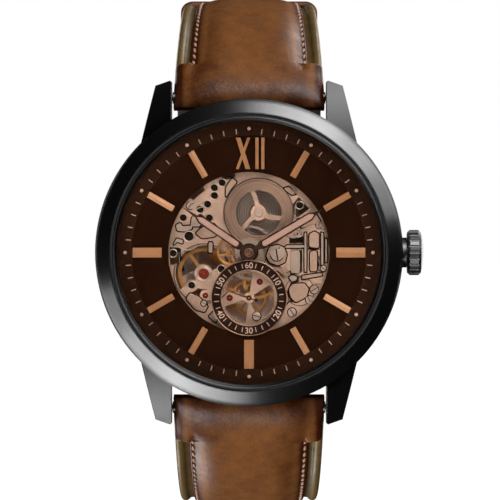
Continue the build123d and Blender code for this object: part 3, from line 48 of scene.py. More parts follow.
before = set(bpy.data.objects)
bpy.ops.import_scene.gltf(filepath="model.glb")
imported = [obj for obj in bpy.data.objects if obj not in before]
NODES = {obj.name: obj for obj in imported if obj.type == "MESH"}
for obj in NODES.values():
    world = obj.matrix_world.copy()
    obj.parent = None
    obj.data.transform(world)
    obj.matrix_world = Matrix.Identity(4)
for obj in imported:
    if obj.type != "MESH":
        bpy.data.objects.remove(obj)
CAD_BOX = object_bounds()

MM = 0.001

FACING = (math.radians(90), 0, 0)  # turns a primitive's own axis to the dial's normal

# ---- sizes shared with the CAD, in millimetres; the dial faces -Y and 12 o'clock is +Z ----
STRAP_RADIUS = 39.5
BAR_Y = 24.3
BAR_Z = 3.4
RING_DEPTH = math.sqrt(STRAP_RADIUS**2 - BAR_Y**2) - BAR_Z
BAR_ANGLE = math.degrees(math.asin(BAR_Y / STRAP_RADIUS))
SHORT_ARC = 133.97 - BAR_ANGLE
LONG_ARC = 200.97 - BAR_ANGLE
STRAP_WIDTH = 23.7
STRAP_END_WIDTH = 20.0
TRACK_TOP = 9.45
SUBDIAL_TOP = 9.6
SUBDIAL_Z = -7.06
SUBDIAL_OUTER = 5.92
SUBDIAL_INNER = 4.28
HOUR_ANGLE = 304.3
MINUTE_ANGLE = 59.5
HOUR_SLOT = (2.07, 9.7)
MINUTE_SLOT = (2.46, 11.7)
SLOT_WIDTH = 0.86
HOUR_HAND_BOTTOM = 10.05
MINUTE_HAND_BOTTOM = 10.5
HAND_THICKNESS = 0.2
PLATE_TOP = 8.3
RAISED = 0.25  # thickness of the cover over the keyless works
CENTRE = (0.0, 0.0)
BARREL = (1.48, 6.2)
BALANCE = (-7.06, -3.3)
CROWN_SPOT = (4.35, -0.3)
LOWER_SPOT = (7.9, -6.0)
HOLES_SMALL = (  # x, z
    (-5.4, 10.1), (-4.2, 10.9), (-5.4, 8.9), (-6.45, 7.55), (-7.65, 6.75), (-10.25, 5.45), (-6.2, 5.4),
    (-6.45, 3.35), (-11.85, -0.1), (-8.95, -5.1), (-4.35, -2.55), (7.9, 7.4))
HOLES_LARGE = ((-9.35, 2.55), (7.9, -6.0))
SCREW_HEADS = (  # x, z, radius, slot turn, seat height
    (4.35, -0.3, 0.95, 80, 0.42), (11.6, -2.45, 0.42, 40, 0.2), (10.15, -5.75, 0.6, 150, 0),
    (9.35, -7.3, 0.5, 65, 0), (6.7, -9.3, 0.62, 55, 0), (-9.2, 7.3, 0.52, 120, 0), (1.2, -9.95, 0.6, 20, 0),
    (7.65, 3.5, 0.4, 10, 0), (10.9, 4.3, 0.42, 95, 0), (-7.06, -7.9, 0.4, 30, 0.1))
HOLES = 7
HOLE_RADIUS = 1.0
HOLE_PITCH = 9.4
FIRST_HOLE = 19.0
KEEPER_FIXED_BACK = 5.86
KEEPER_SLIDING_BACK = 13.1
KEEPER_LENGTH = 6.0
KEEPER_WALL = 1.1
KEEPER_SLACK = 0.75
KEEPER_ROOM = 3.0
LINING = 1.1
PAD_LUGS = 2.7
PAD_TIP = 1.6
MARGIN = 2.2  # base leather that shows beside the pad
NOSE = 2.2  # how far the pad reaches past its spring bar
PAD_POINTS = 45  # across the pad's top
TIP_STEPS = (0.15, 0.5, 1.0, 1.9, 3.2, 4.6)  # degrees before the tip at which its curve is drawn
ROLL_OFF = 3.6  # length over which the pad's lug end falls toward its nose
SEAT_TOP = 1.36  # height of the pad's stitched edge
BORE_WRAP = 1.8  # how far the nose reaches below the bar
SWING_ROOM = 65.0  # left below the watch for the strap's long half when it swings out

# ---- surface details, in millimetres ----
TICK_RADIUS = 18.9
DOT_RADIUS = 19.3
TRACK_EDGE = 18.15
SCALE_TICK_RADIUS = 5.05
SCALE_NUMBER_RADIUS = 5.08
SCALE_NUMBER_SIZE = 1.32
CRYSTAL_EDGE_RADIUS = 21.0
CRYSTAL_EDGE_LEVEL = 12.36
HAND_CAP_LEVEL = 10.86
HAND_WIDTH = 1.33
BEZEL_TOP = 12.5
CORNER_CUT = 0.12  # share of a side that a softened corner takes
# Width of the dark sheet of painted shade round each plate or lever.
SHADE_MARGIN = 0.2  # dark margin round a plate or lever
PRINT = 0.012  # height of the middle of a printed mark above its ground

# ---- distances of the lamps from the dial, in metres ----
NEAR = 0.62
FAR = 0.8

# ---- plates and levers over the movement: outline in x and z, thickness, whether bright, height of seat ----
COVERS = {
    "yoke": ([(2.7, -0.5), (3.2, -1.6), (4.6, -2.0), (5.6, -1.5), (5.9, -0.3), (5.5, 0.8), (4.4, 1.2),
        (3.2, 0.9)], 0.16, False, RAISED),
    "yoke_arm": ([(3.0, -2.2), (4.9, -2.4), (5.9, -2.1), (5.7, -3.9), (4.5, -2.9), (3.2, -2.7)], 0.12,
        False, RAISED),
    "lever_upright": ([(6.45, -3.2), (7.95, -3.2), (7.95, 0.35), (6.45, 0.35)], 0.4, True),
    "lever_head": ([(5.5, 0.75), (8.6, 0.75), (8.6, 1.15), (5.9, 1.15)], 0.2, True, RAISED),
    "stem_post": ([(9.5, -2.9), (10.6, -2.9), (10.6, 0.1), (10.2, 0.3), (9.5, 0.1)], 0.2, False, RAISED),
    "stem_cap": ([(9.4, 0.9), (10.9, 0.7), (10.9, 2.9), (10.2, 3.3), (9.4, 2.9)], 0.2, False, RAISED),
    "stem_rail": ([(11.25, -1.9), (11.6, -1.9), (11.6, 3.0), (11.25, 3.1)], 0.2, True, RAISED),
    "outer_rail": ([(11.9, -1.5), (12.15, -1.5), (12.15, 2.1), (11.9, 2.2)], 0.16, True, RAISED),
    "inner_rail": ([(8.65, -3.0), (8.95, -3.0), (8.95, 3.1), (8.65, 3.1)], 0.2, True, RAISED),
    "cross_rail": ([(8.3, -4.15), (11.4, -3.6), (11.3, -3.2), (8.3, -3.6)], 0.16, False, RAISED),
    "corner_plate": ([(7.3, -7.8), (9.0, -6.9), (9.3, -5.6), (8.6, -4.8), (6.7, -4.9), (6.2, -5.8),
        (6.5, -7.0)], 0.14, False),
    "corner_foot": ([(5.5, -8.4), (6.2, -7.5), (5.9, -6.2), (5.4, -5.6), (5.5, -7.0)], 0.14, False),
    "oval_eye": ([(6.2, -3.9), (6.7, -4.5), (7.4, -4.3), (7.5, -3.8), (6.7, -3.5)], 0.12, True),
    "click_plate": ([(7.2, 4.0), (8.8, 3.9), (11.2, 4.8), (10.4, 6.1), (9.0, 5.1), (7.6, 5.3)], 0.14, False),
    "click_arm": ([(5.3, 2.6), (6.8, 2.2), (8.2, 2.4), (8.2, 2.8), (6.9, 2.7), (5.7, 3.2)], 0.14, True),
    "lever_left": ([(-9.1, 4.1), (-7.6, 4.1), (-7.5, 5.5), (-8.9, 5.6)], 0.16, True),
    "spring_foot": ([(-11.2, 3.4), (-9.9, 3.3), (-8.9, 3.7), (-8.9, 4.2), (-10.4, 4.1), (-10.7, 4.6),
        (-11.4, 4.3)], 0.22, True),
    "spring_head": ([(-11.8, 1.2), (-11.2, 1.7), (-10.4, 1.4), (-10.3, 1.9), (-11.3, 2.2)], 0.2, True),
    "train_wing": ([(-8.3, 3.0), (-7.3, 2.2), (-5.3, 2.5), (-4.6, 3.6), (-5.6, 4.6), (-7.4, 3.9)], 0.12,
        False),
    "pillar_one": ([(-6.3, 0.0), (-5.7, 0.0), (-5.7, 1.6), (-6.3, 1.6)], 0.1, True),
    "cock_foot": ([(-9.8, -7.2), (-8.4, -8.9), (-6.9, -9.3), (-6.4, -8.3), (-7.8, -6.9), (-9.2, -6.3)],
        0.14, False),
    "cock_tail": ([(-6.3, -10.0), (-5.2, -10.9), (-4.9, -10.2), (-5.6, -9.2)], 0.14, True),
    "north_wing": ([(-3.6, 8.6), (-2.9, 9.8), (-1.9, 11.0), (-2.6, 11.6), (-3.6, 10.2)], 0.12, False),
    "east_wing": ([(5.4, 10.0), (6.6, 9.0), (7.3, 9.1), (6.2, 10.3)], 0.12, False),
}


# ---- settings a user may change ----
class LeatherSettings(bpy.types.PropertyGroup):
    """Colours and sizes of the strap."""
    tan: bpy.props.FloatVectorProperty(
        name="Waxed brown", description="Colour of the pad where light catches it",
        default=(0.235, 0.090, 0.025), min=0, max=1, subtype="COLOR")
    # The dark colour of the pad: burnished brown in the mottle, and painted shade in the hollows, toward the
    # sides and toward the lugs.
    burnt: bpy.props.FloatVectorProperty(
        name="Burnished brown", description="Colour in the hollows and toward the lugs",
        default=(0.052, 0.0100, 0.0012), min=0, max=1, subtype="COLOR")
    edge: bpy.props.FloatVectorProperty(
        name="Edge paint", description="Colour of the rounded side beads",
        default=(0.150, 0.097, 0.032), min=0, max=1, subtype="COLOR")
    lining: bpy.props.FloatVectorProperty(
        name="Lining", description="Colour of the lining leather",
        default=(0.50, 0.32, 0.18), min=0, max=1, subtype="COLOR")
    thread: bpy.props.FloatVectorProperty(
        name="Thread", description="Colour of the stitching",
        default=(0.42, 0.255, 0.17), min=0, max=1, subtype="COLOR")
    stitch_pitch: bpy.props.FloatProperty(
        name="Stitch pitch", description="Distance from one stitch to the next",
        default=1.63 * MM, min=1.0 * MM, max=4.0 * MM, unit="LENGTH")
    notch: bpy.props.FloatProperty(
        name="Notch", description="Angle round the wrist at which the lug end gives way to the stitched pad",
        default=math.radians(BAR_ANGLE + 8.3), subtype="ANGLE")


class DialSettings(bpy.types.PropertyGroup):
    """Colours of the dial and its printing."""
    smoke: bpy.props.FloatVectorProperty(
        name="Dial", description="Colour of the smoked dial",
        default=(0.0092, 0.0020, 0.0), min=0, max=1, subtype="COLOR")
    track: bpy.props.FloatVectorProperty(
        name="Minute track", description="Colour of the raised minute ring",
        default=(0.0165, 0.0058, 0.0022), min=0, max=1, subtype="COLOR")
    print_colour: bpy.props.FloatVectorProperty(
        name="Printing", description="Colour of the ticks and numbers",
        default=(0.36, 0.21, 0.14), min=0, max=1, subtype="COLOR")
    bronze: bpy.props.FloatVectorProperty(
        name="Markers", description="Colour of the applied markers",
        default=(0.305, 0.134, 0.052), min=0, max=1, subtype="COLOR")
    lume: bpy.props.FloatVectorProperty(
        name="Luminous filling", description="Colour of the filling in the hands",
        default=(0.285, 0.155, 0.112), min=0, max=1, subtype="COLOR")


class MovementSettings(bpy.types.PropertyGroup):
    """Colours of the movement."""
    plate: bpy.props.FloatVectorProperty(
        name="Plates", description="Colour of the champagne plates",
        default=(0.40, 0.245, 0.168), min=0, max=1, subtype="COLOR")
    gilt: bpy.props.FloatVectorProperty(
        name="Wheels", description="Colour of the gilt wheels",
        default=(0.80, 0.37, 0.12), min=0, max=1, subtype="COLOR")
    steel: bpy.props.FloatVectorProperty(
        name="Steel", description="Colour of the levers, springs and screws",
        default=(0.48, 0.34, 0.26), min=0, max=1, subtype="COLOR")
    ruby: bpy.props.FloatVectorProperty(
        name="Jewels", description="Colour of the jewels",
        default=(0.115, 0.016, 0.010), min=0, max=1, subtype="COLOR")


class StudioSettings(bpy.types.PropertyGroup):
    """Camera and lamps."""
    distance: bpy.props.FloatProperty(
        name="Camera distance", description="From the camera to the bezel",
        default=650.0 * MM, min=0.2, max=3.0, unit="LENGTH")
    view_width: bpy.props.FloatProperty(
        name="View width", description="Width of the view at the bezel",
        default=77.5 * MM, min=0.02, max=1.0, unit="LENGTH")
    key: bpy.props.FloatProperty(
        name="Key lamp", description="Power of the upper right soft lamp",
        default=3.3, min=0.0, unit="POWER")
    fill: bpy.props.FloatProperty(
        name="Fill lamp", description="Power of the lower left soft lamp",
        default=3.3, min=0.0, unit="POWER")


def leather():
    return bpy.context.scene.watch_leather


def dial():
    return bpy.context.scene.watch_dial


def movement():
    return bpy.context.scene.watch_movement


def studio():
    return bpy.context.scene.watch_studio


# ---- places ----
def strap_place(angle, x, height, along=0.0):
    """A point on the strap: signed degrees from the dial's normal, millimetres across, out and onward."""
    a = math.radians(angle)
    onward = math.copysign(1.0, angle)
    out = STRAP_RADIUS + height
    depth = RING_DEPTH - out * math.cos(a) + along * onward * math.sin(a)
    rise = out * math.sin(a) + along * onward * math.cos(a)
    return Vector((x, depth, rise)) * MM


def strap_frame(angle, x, height, along=0.0):
    """A matrix whose x is across the strap, y onward along it and z away from the wrist."""
    a = math.radians(angle)
    onward = math.copysign(1.0, angle)
    across = Vector((1, 0, 0))
    forward = Vector((0, math.sin(a), math.cos(a))) * onward
    out = Vector((0, -math.cos(a), math.sin(a)))
    place = Matrix((across * onward, forward, out)).transposed().to_4x4()
    place.translation = strap_place(angle, x, height, along)
    return place


def clock_turn(degrees):
    """Turns a piece made at 12 o'clock to another hour angle."""
    return Matrix.Rotation(math.radians(degrees), 4, "Y")


def dial_level(height):
    """The Y coordinate of a height above the case back, in metres."""
    return -height * MM


def moved(x, height, z):
    """Moves a piece to a place on the dial and a height above the case back, in millimetres."""
    return Matrix.Translation((x * MM, dial_level(height), z * MM))


# ---- modelling by hand, in short calls ----
def alone(piece):
    """Selects the piece and nothing else."""
    bpy.ops.object.select_all(action="DESELECT")
    piece.select_set(True)
    bpy.context.view_layer.objects.active = piece


def primitive(kind, name, **settings):
    """A new primitive, with its place put into its mesh."""
    bpy.ops.object.select_all(action="DESELECT")
    getattr(bpy.ops.mesh, "primitive_" + kind + "_add")(**settings)
    piece = bpy.context.object
    piece.name = name
    piece.data.name = name
    bpy.ops.object.transform_apply(location=True, rotation=True, scale=True)
    return piece


def choose(piece, wanted):
    """Enters edit mode with the wanted faces selected; wanted is given a face's centre and normal."""
    alone(piece)
    bpy.ops.object.mode_set(mode="EDIT")
    bpy.ops.mesh.select_mode(type="FACE")
    bpy.ops.mesh.select_all(action="DESELECT")
    bpy.ops.object.mode_set(mode="OBJECT")
    for face in piece.data.polygons:
        face.select = wanted(face.center, face.normal)
    bpy.ops.object.mode_set(mode="EDIT")


def edit_done():
    bpy.ops.object.mode_set(mode="OBJECT")


def smooth(piece, degrees=35.0):
    """Shades the piece smooth, but for edges sharper than this."""
    alone(piece)
    bpy.ops.object.shade_smooth_by_angle(angle=math.radians(degrees))


def bevel_edges(piece, width, segments=2, limit=40.0):
    alone(piece)
    modifier = piece.modifiers.new("edges", "BEVEL")
    modifier.width = width
    modifier.segments = segments
    modifier.limit_method = "ANGLE"
    modifier.angle_limit = math.radians(limit)
    bpy.ops.object.modifier_apply(modifier="edges")


def softened(outline):
    """The outline with each corner cut across."""
    cuts = []
    for n, spot in enumerate(outline):
        after = outline[(n + 1) % len(outline)]
        for share in (CORNER_CUT, 1 - CORNER_CUT):
            cuts.append((spot[0] + (after[0] - spot[0]) * share, spot[1] + (after[1] - spot[1]) * share))
    return cuts


def grown(outline, by):
    """A counter-clockwise outline with each side moved outward."""
    result = []
    for n, spot in enumerate(outline):
        before = (Vector(spot) - Vector(outline[n - 1])).normalized()
        after = (Vector(outline[(n + 1) % len(outline)]) - Vector(spot)).normalized()
        one, other = Vector((before.y, -before.x)), Vector((after.y, -after.x))
        result.append(Vector(spot) + (one + other) * by / max(0.6, 1 + one.dot(other)))
    return result


def cut(piece, cutter):
    """Cuts the cutter's shape out of the piece."""
    alone(piece)
    modifier = piece.modifiers.new("cut", "BOOLEAN")
    modifier.operation = "DIFFERENCE"
    modifier.solver = "EXACT"
    modifier.object = cutter
    bpy.ops.object.modifier_apply(modifier="cut")


def copies(name, master, places):
    """One piece made of a copy of the master at each place; the master is used up."""
    whole = bmesh.new()
    for place in places:
        part = master.data.copy()
        part.transform(place)
        whole.from_mesh(part)
        bpy.data.meshes.remove(part)
    mesh = bpy.data.meshes.new(name)
    whole.to_mesh(mesh)
    whole.free()
    piece = bpy.data.objects.new(name, mesh)
    bpy.context.scene.collection.objects.link(piece)
    bpy.data.objects.remove(master)
    return piece


def loft(name, rings, lengths, marks, closed_caps=True, crest=0):
    """A closed body through rings of points, with a map in metres and a mark at each point that holds burnish
    and painted shade.

    rings: lists of equally many points. lengths: distance along the body at each ring. marks: like rings.
    crest: the point in a ring from which the map's distance round it is measured."""
    count = len(rings[0])
    around = []
    for ring in rings:
        run = [0.0]
        for j in range(count):
            run.append(run[-1] + (ring[(j + 1) % count] - ring[j]).length)
        around.append([distance - run[crest] for distance in run])
    whole = bmesh.new()
    layer = whole.loops.layers.uv.new("strap_map")
    mark = whole.verts.layers.float.new("burnish_and_shade")
    rows = []
    for ring, row_marks in zip(rings, marks):
        row = [whole.verts.new(point) for point in ring]
        for vert, value in zip(row, row_marks):
            vert[mark] = value
        rows.append(row)
    for i in range(len(rows) - 1):
        for j in range(count):
            k = (j + 1) % count
            face = whole.faces.new((rows[i][j], rows[i][k], rows[i + 1][k], rows[i + 1][j]))
            face.smooth = True
            spots = ((j, i), (j + 1, i), (j + 1, i + 1), (j, i + 1))
            for loop, (across, along) in zip(face.loops, spots):
                loop[layer].uv = (around[along][across], lengths[along])
    if closed_caps:
        whole.faces.new(rows[0])
        whole.faces.new(list(reversed(rows[-1])))
    bmesh.ops.recalc_face_normals(whole, faces=whole.faces)
    mesh = bpy.data.meshes.new(name)
    whole.to_mesh(mesh)
    whole.free()
    piece = bpy.data.objects.new(name, mesh)
    bpy.context.scene.collection.objects.link(piece)
    return piece


def dress(piece, material, body, stands_for=()):
    """Gives a new piece its material, body and slot, and hides the CAD nodes it stands for."""
    piece.data.materials.clear()
    piece.data.materials.append(material)
    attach(piece, body)
    if stands_for:
        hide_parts(*stands_for)
    return piece


def paint(node, material):
    """Gives a CAD node its material."""
    piece = NODES[node]
    piece.data.materials.clear()
    piece.data.materials.append(material)


# ---- material building ----
def new_material(name, **constants):
    """A material and its Principled shader; constants are plain values for the shader's own sockets."""
    material = bpy.data.materials.new(name)
    material.use_nodes = True
    shader = material.node_tree.nodes["Principled BSDF"]
    for key, value in constants.items():
        shader.inputs[key.replace("_", " ")].default_value = value
    return material, material.node_tree, shader


def node(tree, kind, settings=None, **plugs):
    """Adds a node. A plug is a constant or a socket, named with _ for spaces or by n and a number."""
    made = tree.nodes.new("ShaderNode" + kind)
    for key, value in (settings or {}).items():
        setattr(made, key, value)
    for key, value in plugs.items():
        place = int(key[1:]) if key[0] == "n" and key[1:].isdigit() else key.replace("_", " ")
        socket = made.inputs[place]
        if isinstance(value, bpy.types.NodeSocket):
            tree.links.new(value, socket)
        else:
            socket.default_value = value
    return made


def feed(tree, shader, **sockets):
    """Links values to the shader's sockets, named with _ for spaces."""
    for key, value in sockets.items():
        tree.links.new(value, shader.inputs[key.replace("_", " ")])


def calc(tree, operation, a, b=0.0):
    """One step of arithmetic."""
    return node(tree, "Math", {"operation": operation}, n0=a, n1=b).outputs[0]


def blend(tree, factor, a, b):
    """From colour a to colour b."""
    mixed = node(tree, "Mix", {"data_type": "RGBA"}, n0=factor, n6=a, n7=b)
    return mixed.outputs[2]


def coords(tree, stretch=(1, 1, 1), place=(0, 0, 0)):
    """The piece's own coordinates, stretched and moved."""
    source = node(tree, "TexCoord").outputs["Object"]
    mapping = node(tree, "Mapping", Vector=source, Scale=stretch, Location=place)
    return mapping.outputs["Vector"]


def noise(tree, vector, scale, detail=3.0, roughness=0.5):
    made = node(tree, "TexNoise", Vector=vector, Scale=scale, Detail=detail, Roughness=roughness)
    return made.outputs["Fac"]


def ranged(tree, value, low, high, start=0.0, stop=1.0):
    """The value's range from start to stop spread from low to high."""
    made = node(tree, "MapRange", Value=value, From_Min=start, From_Max=stop, To_Min=low, To_Max=high)
    return made.outputs["Result"]


def bump(tree, shader, height, depth, strength=1.0, rounded=0.0):
    made = node(tree, "Bump", Height=height, Distance=depth, Strength=strength)
    if rounded:
        edge = node(tree, "Bevel", {"samples": 4}, Radius=rounded)
        tree.links.new(edge.outputs["Normal"], made.inputs["Normal"])
    feed(tree, shader, Normal=made.outputs["Normal"])


def shade_of(colour, share):
    """The colour made darker or lighter, as four numbers."""
    return (colour[0] * share, colour[1] * share, colour[2] * share, 1.0)


def darker(colour, shares):
    """The colour with each part scaled by its own share."""
    return [part * share for part, share in zip(colour, shares)]


def axis_distance(tree, centre=(0.0, 0.0)):
    """Distance from a line parallel to Y through (x, z), in metres."""
    spot = node(tree, "SeparateXYZ", Vector=coords(tree, place=(-centre[0] * MM, 0, -centre[1] * MM)))
    x = calc(tree, "POWER", calc(tree, "ABSOLUTE", spot.outputs["X"]), 2.0)
    z = calc(tree, "POWER", calc(tree, "ABSOLUTE", spot.outputs["Z"]), 2.0)
    return calc(tree, "SQRT", calc(tree, "ADD", x, z))


def grained(name, colour, roughness, stretch=(1, 1, 1), scale=3000.0, spread=0.12, depth=0.000004, rounded=0.0,
            **constants):
    """A finish with a fine grain: its colour, roughness and surface all vary with it."""
    material, tree, shader = new_material(name, **constants)
    place = coords(tree, stretch)
    fine = noise(tree, place, scale, 4.0, 0.6)
    broad = noise(tree, coords(tree), 160.0, 2.0)
    both = calc(tree, "ADD", calc(tree, "MULTIPLY", fine, 0.6), calc(tree, "MULTIPLY", broad, 0.4))
    tone = blend(tree, ranged(tree, both, 0.0, 1.0, 0.3, 0.7), shade_of(colour, 1 - spread),
                 shade_of(colour, 1 + spread))
    feed(tree, shader, Base_Color=tone, Roughness=ranged(tree, fine, roughness * 0.85, roughness * 1.15))
    bump(tree, shader, fine, depth, 1.0, rounded)
    return material


def turned(name, colour, roughness, anisotropy, pitch=9000.0, spread=0.15, depth=0.000002, centre=(0.0, 0.0),
           rounded=0.0, **constants):
    """Metal brushed in circles round an axis parallel to Y."""
    material, tree, shader = new_material(name, Metallic=1.0, Anisotropic=anisotropy, **constants)
    radius = axis_distance(tree, centre)
    spot = coords(tree, place=(-centre[0] * MM, 0, -centre[1] * MM))
    lines = node(tree, "TexNoise", {"noise_dimensions": "1D"}, W=calc(tree, "MULTIPLY", radius, pitch),
                 Scale=1.0, Detail=4.0, Roughness=0.7).outputs["Fac"]
    patches = noise(tree, coords(tree), 260.0, 3.0)
    both = calc(tree, "ADD", calc(tree, "MULTIPLY", lines, 0.75), calc(tree, "MULTIPLY", patches, 0.25))
    tone = blend(tree, ranged(tree, both, 0.0, 1.0, 0.3, 0.7), shade_of(colour, 1 - spread),
                 shade_of(colour, 1 + spread))
    feed(tree, shader, Base_Color=tone, Roughness=ranged(tree, lines, roughness * 0.8, roughness * 1.2))
    flat = node(tree, "VectorMath", {"operation": "MULTIPLY"}, n0=spot, n1=(1.0, 0.0, 1.0)).outputs[0]
    outward = node(tree, "VectorMath", {"operation": "NORMALIZE"}, n0=flat).outputs[0]
    feed(tree, shader, Tangent=outward)
    bump(tree, shader, lines, depth, 1.0, rounded)
    return material


def clear_glass(name, tint):
    """Polished glass with a coating against reflections; it lets lamps through to what it covers."""
    material, tree, shader = new_material(name, Transmission_Weight=1.0, Roughness=0.0, IOR=1.2)
    smear = noise(tree, coords(tree), 90.0, 2.0)
    tone = blend(tree, smear, tint, (1.0, 1.0, 1.0, 1.0))
    feed(tree, shader, Base_Color=tone)
    through = node(tree, "BsdfTransparent", Color=(0.96, 0.96, 0.96, 1.0))
    lamps = node(tree, "LightPath").outputs["Is Shadow Ray"]
    mixed = node(tree, "MixShader", n0=lamps, n1=shader.outputs[0], n2=through.outputs[0])
    tree.links.new(mixed.outputs[0], tree.nodes["Material Output"].inputs["Surface"])
    return material


def waxed_leather(name, light, dark, rough=0.42):
    """Pull-up leather: a fine pebble grain, paler on the shoulders where it is stretched and where sheen is
    painted, burnt brown with painted shade in the hollows.
    """
    material, tree, shader = new_material(name, Specular_IOR_Level=0.32)
    flat = node(tree, "UVMap", {"uv_map": "strap_map"}).outputs["UV"]
    burnish_and_shade = node(tree, "Attribute", {"attribute_name": "burnish_and_shade"}).outputs["Fac"]
    mottle = noise(tree, flat, 420.0, 5.0, 0.65)
    cloud = noise(tree, flat, 95.0, 2.0)
    fine = noise(tree, flat, 3200.0, 3.0, 0.6)
    pebble = node(tree, "TexVoronoi", {"feature": "SMOOTH_F1"}, Vector=flat, Scale=2100.0,
                  Smoothness=0.6).outputs["Distance"]
    # Each point's mark holds burnish and painted shade; with the mottle it pulls the colour toward the dark
    # one.
    depth = burnish_and_shade
    for pattern, amount in ((mottle, 1.25), (cloud, 0.8), (fine, 0.9)):
        centred = calc(tree, "SUBTRACT", pattern, 0.5)
        depth = calc(tree, "ADD", depth, calc(tree, "MULTIPLY", centred, amount))
    tone = blend(tree, ranged(tree, depth, 0.0, 1.0, 0.0, 1.0), (*light, 1.0), (*dark, 1.0))
    feed(tree, shader, Base_Color=tone, Roughness=ranged(tree, mottle, rough * 0.85, rough * 1.25, 0.3, 0.7))
    grain = calc(tree, "ADD", calc(tree, "MULTIPLY", pebble, 0.7), calc(tree, "MULTIPLY", fine, 0.5))
    bump(tree, shader, grain, 0.00005, 0.55)
    return material


# ---- strap shapes ----
def strap_half(share):
    """Half the strap's width at a share of its length."""
    return (STRAP_WIDTH - (STRAP_WIDTH - STRAP_END_WIDTH) * min(1.0, share * 1.5)) / 2


def tip_half(half, left):
    """Half width narrowed by the rounded tip; left is the distance to the tip."""
    radius = STRAP_END_WIDTH / 2
    if left >= radius:
        return half
    return max(0.6, math.sqrt(max(0.0, radius**2 - (radius - left) ** 2)))


def ease(value):
    """From 0 to 1, slow at both ends."""
    value = min(1.0, max(0.0, value))
    return value * value * (3 - 2 * value)


def domed(value):
    """From 0 to 1, steep at first and level at the end."""
    return 1 - (1 - min(1.0, max(0.0, value))) ** 2.4


def pad_height(inset, side_inset, lug_share, middle, lip):
    """Height of the pad's surface at a distance in from the stitched edge and from the strap's own side."""
    inset = max(0.0, inset)
    edge = SEAT_TOP - 0.5 * math.exp(-inset / 0.12)
    channel = -0.1 * math.exp(-(((inset - 0.65) / 0.22) ** 2))
    stitched = edge + channel + (middle - SEAT_TOP) * domed((inset - 0.85) / 5.2)
    corner = 0.35 + 1.1 * math.sqrt(max(0.0, 1 - (1 - min(side_inset, 0.9) / 0.9) ** 2))
    plain = corner + (middle - 1.45) * domed((side_inset - 0.4) / 7.4)
    plain += lip * math.exp(-(side_inset / 1.6) ** 2)
    return stitched + (plain - stitched) * lug_share


def pad_stations(arc, notch, tip):
    """Angles past the bar at which the pad is drawn: close together at the notch and the ends."""
    step = 1.3
    stations = [0.0]
    while stations[-1] < arc - step:
        stations.append(stations[-1] + step)
    stations += [notch + d for d in (-0.75, -0.45, -0.2, -0.05, 0.05, 0.2, 0.5)] + [arc]
    if tip:
        stations += [arc - d for d in TIP_STEPS]
    return sorted(set(round(s, 4) for s in stations))


def across_points(half, count):
    """Positions across, closer together near the edges."""
    return [-half * math.cos(math.pi * n / (count - 1)) for n in range(count)]


def pad_ring(side, past, arc, notch, tip, nose=0.0):
    """One cross-section of the pad, degrees past the bar or millimetres before it: points and marks of burnish
    with painted shade and sheen.
    """
    share = past / arc
    lug = 1.0 - ease((past - notch + 0.12) / 0.24)
    shape = 1.0 - ease((past - notch + 4.0) / 5.0)
    full = strap_half(share)
    half = full - MARGIN * (1.0 - lug)
    left = math.radians(arc - past) * STRAP_RADIUS
    if tip and left < STRAP_END_WIDTH / 2:
        half = min(half, max(0.5, tip_half(full, left) - MARGIN))
    middle = PAD_LUGS + (PAD_TIP - PAD_LUGS) * share + 0.12
    lip = 0.3 * math.exp(-(((past - notch + 0.5) / 0.7) ** 2))
    run = math.radians(past) * STRAP_RADIUS
    thin = (1 - ((max(0.0, ROLL_OFF - run) + nose) / (ROLL_OFF + NOSE)) ** 2.4) ** 0.42
    if nose:
        drop = -BORE_WRAP * math.sqrt(1 - (nose / NOSE) ** 2)
    elif lug < 0.5:
        drop = 0.72
    else:
        drop = -BORE_WRAP * math.sqrt(max(0.0, 1 - run / 2.6))
    angle = side * (BAR_ANGLE + past)
    points, marks = [], []
    for x in across_points(half, PAD_POINTS):
        inset = half - abs(x)
        outer = ease((abs(x) - (full - MARGIN - 1.2)) / 1.2)
        stitch_inset = inset if tip and left < STRAP_END_WIDTH else full - MARGIN - abs(x)
        height = pad_height(stitch_inset, full - abs(x), max(shape, lug * outer), middle, lip) * thin
        points.append(strap_place(angle, x, max(height, drop + 0.02), -nose))
        # Marks toward the dark colour: painted shade in the channel beside the stitches, burnish with painted
        # shade toward the sides where the dome turns from the light, a paler shoulder band that is stretched
        # leather with painted sheen, and painted shade near the lug end by the case.
        seam_shade = math.exp(-((inset / 1.05) ** 4))
        side_burnish_and_shade = 0.35 * ease((abs(x) - 2.0) / 6.0)
        stretch_and_sheen = math.exp(-(((inset - 2.0) / 0.6) ** 2))
        ends = math.exp(-(((past + 1.8) / 3.0) ** 2))
        marks.append(max(0.0, min(1.3, 0.3 + side_burnish_and_shade + 1.1 * seam_shade - 0.4 * stretch_and_sheen + 0.35 * ends)))
    # The pad's underside is marked dark: painted shade under the pad.
    for x in reversed(across_points(half - 0.05, 9)):
        points.append(strap_place(angle, x, drop, -nose))
        marks.append(0.8)
    return points, marks


def make_pad(name, side, arc, tip):
    """The padded top leather of one half of the strap."""
    notch = math.degrees(leather().notch) - BAR_ANGLE
    rings, lengths, marks = [], [], []
    for nose in (2.17, 2.0, 1.7, 1.25, 0.65):
        points, row = pad_ring(side, 0.0, arc, notch, tip, nose)
        rings.append(points)
        marks.append(row)
        lengths.append(-nose * MM)
    for past in pad_stations(arc, notch, tip):
        points, row = pad_ring(side, past, arc, notch, tip)
        rings.append(points)
        marks.append(row)
        lengths.append(math.radians(past) * STRAP_RADIUS * MM)
    return loft(name, rings, lengths, marks, crest=PAD_POINTS // 2)


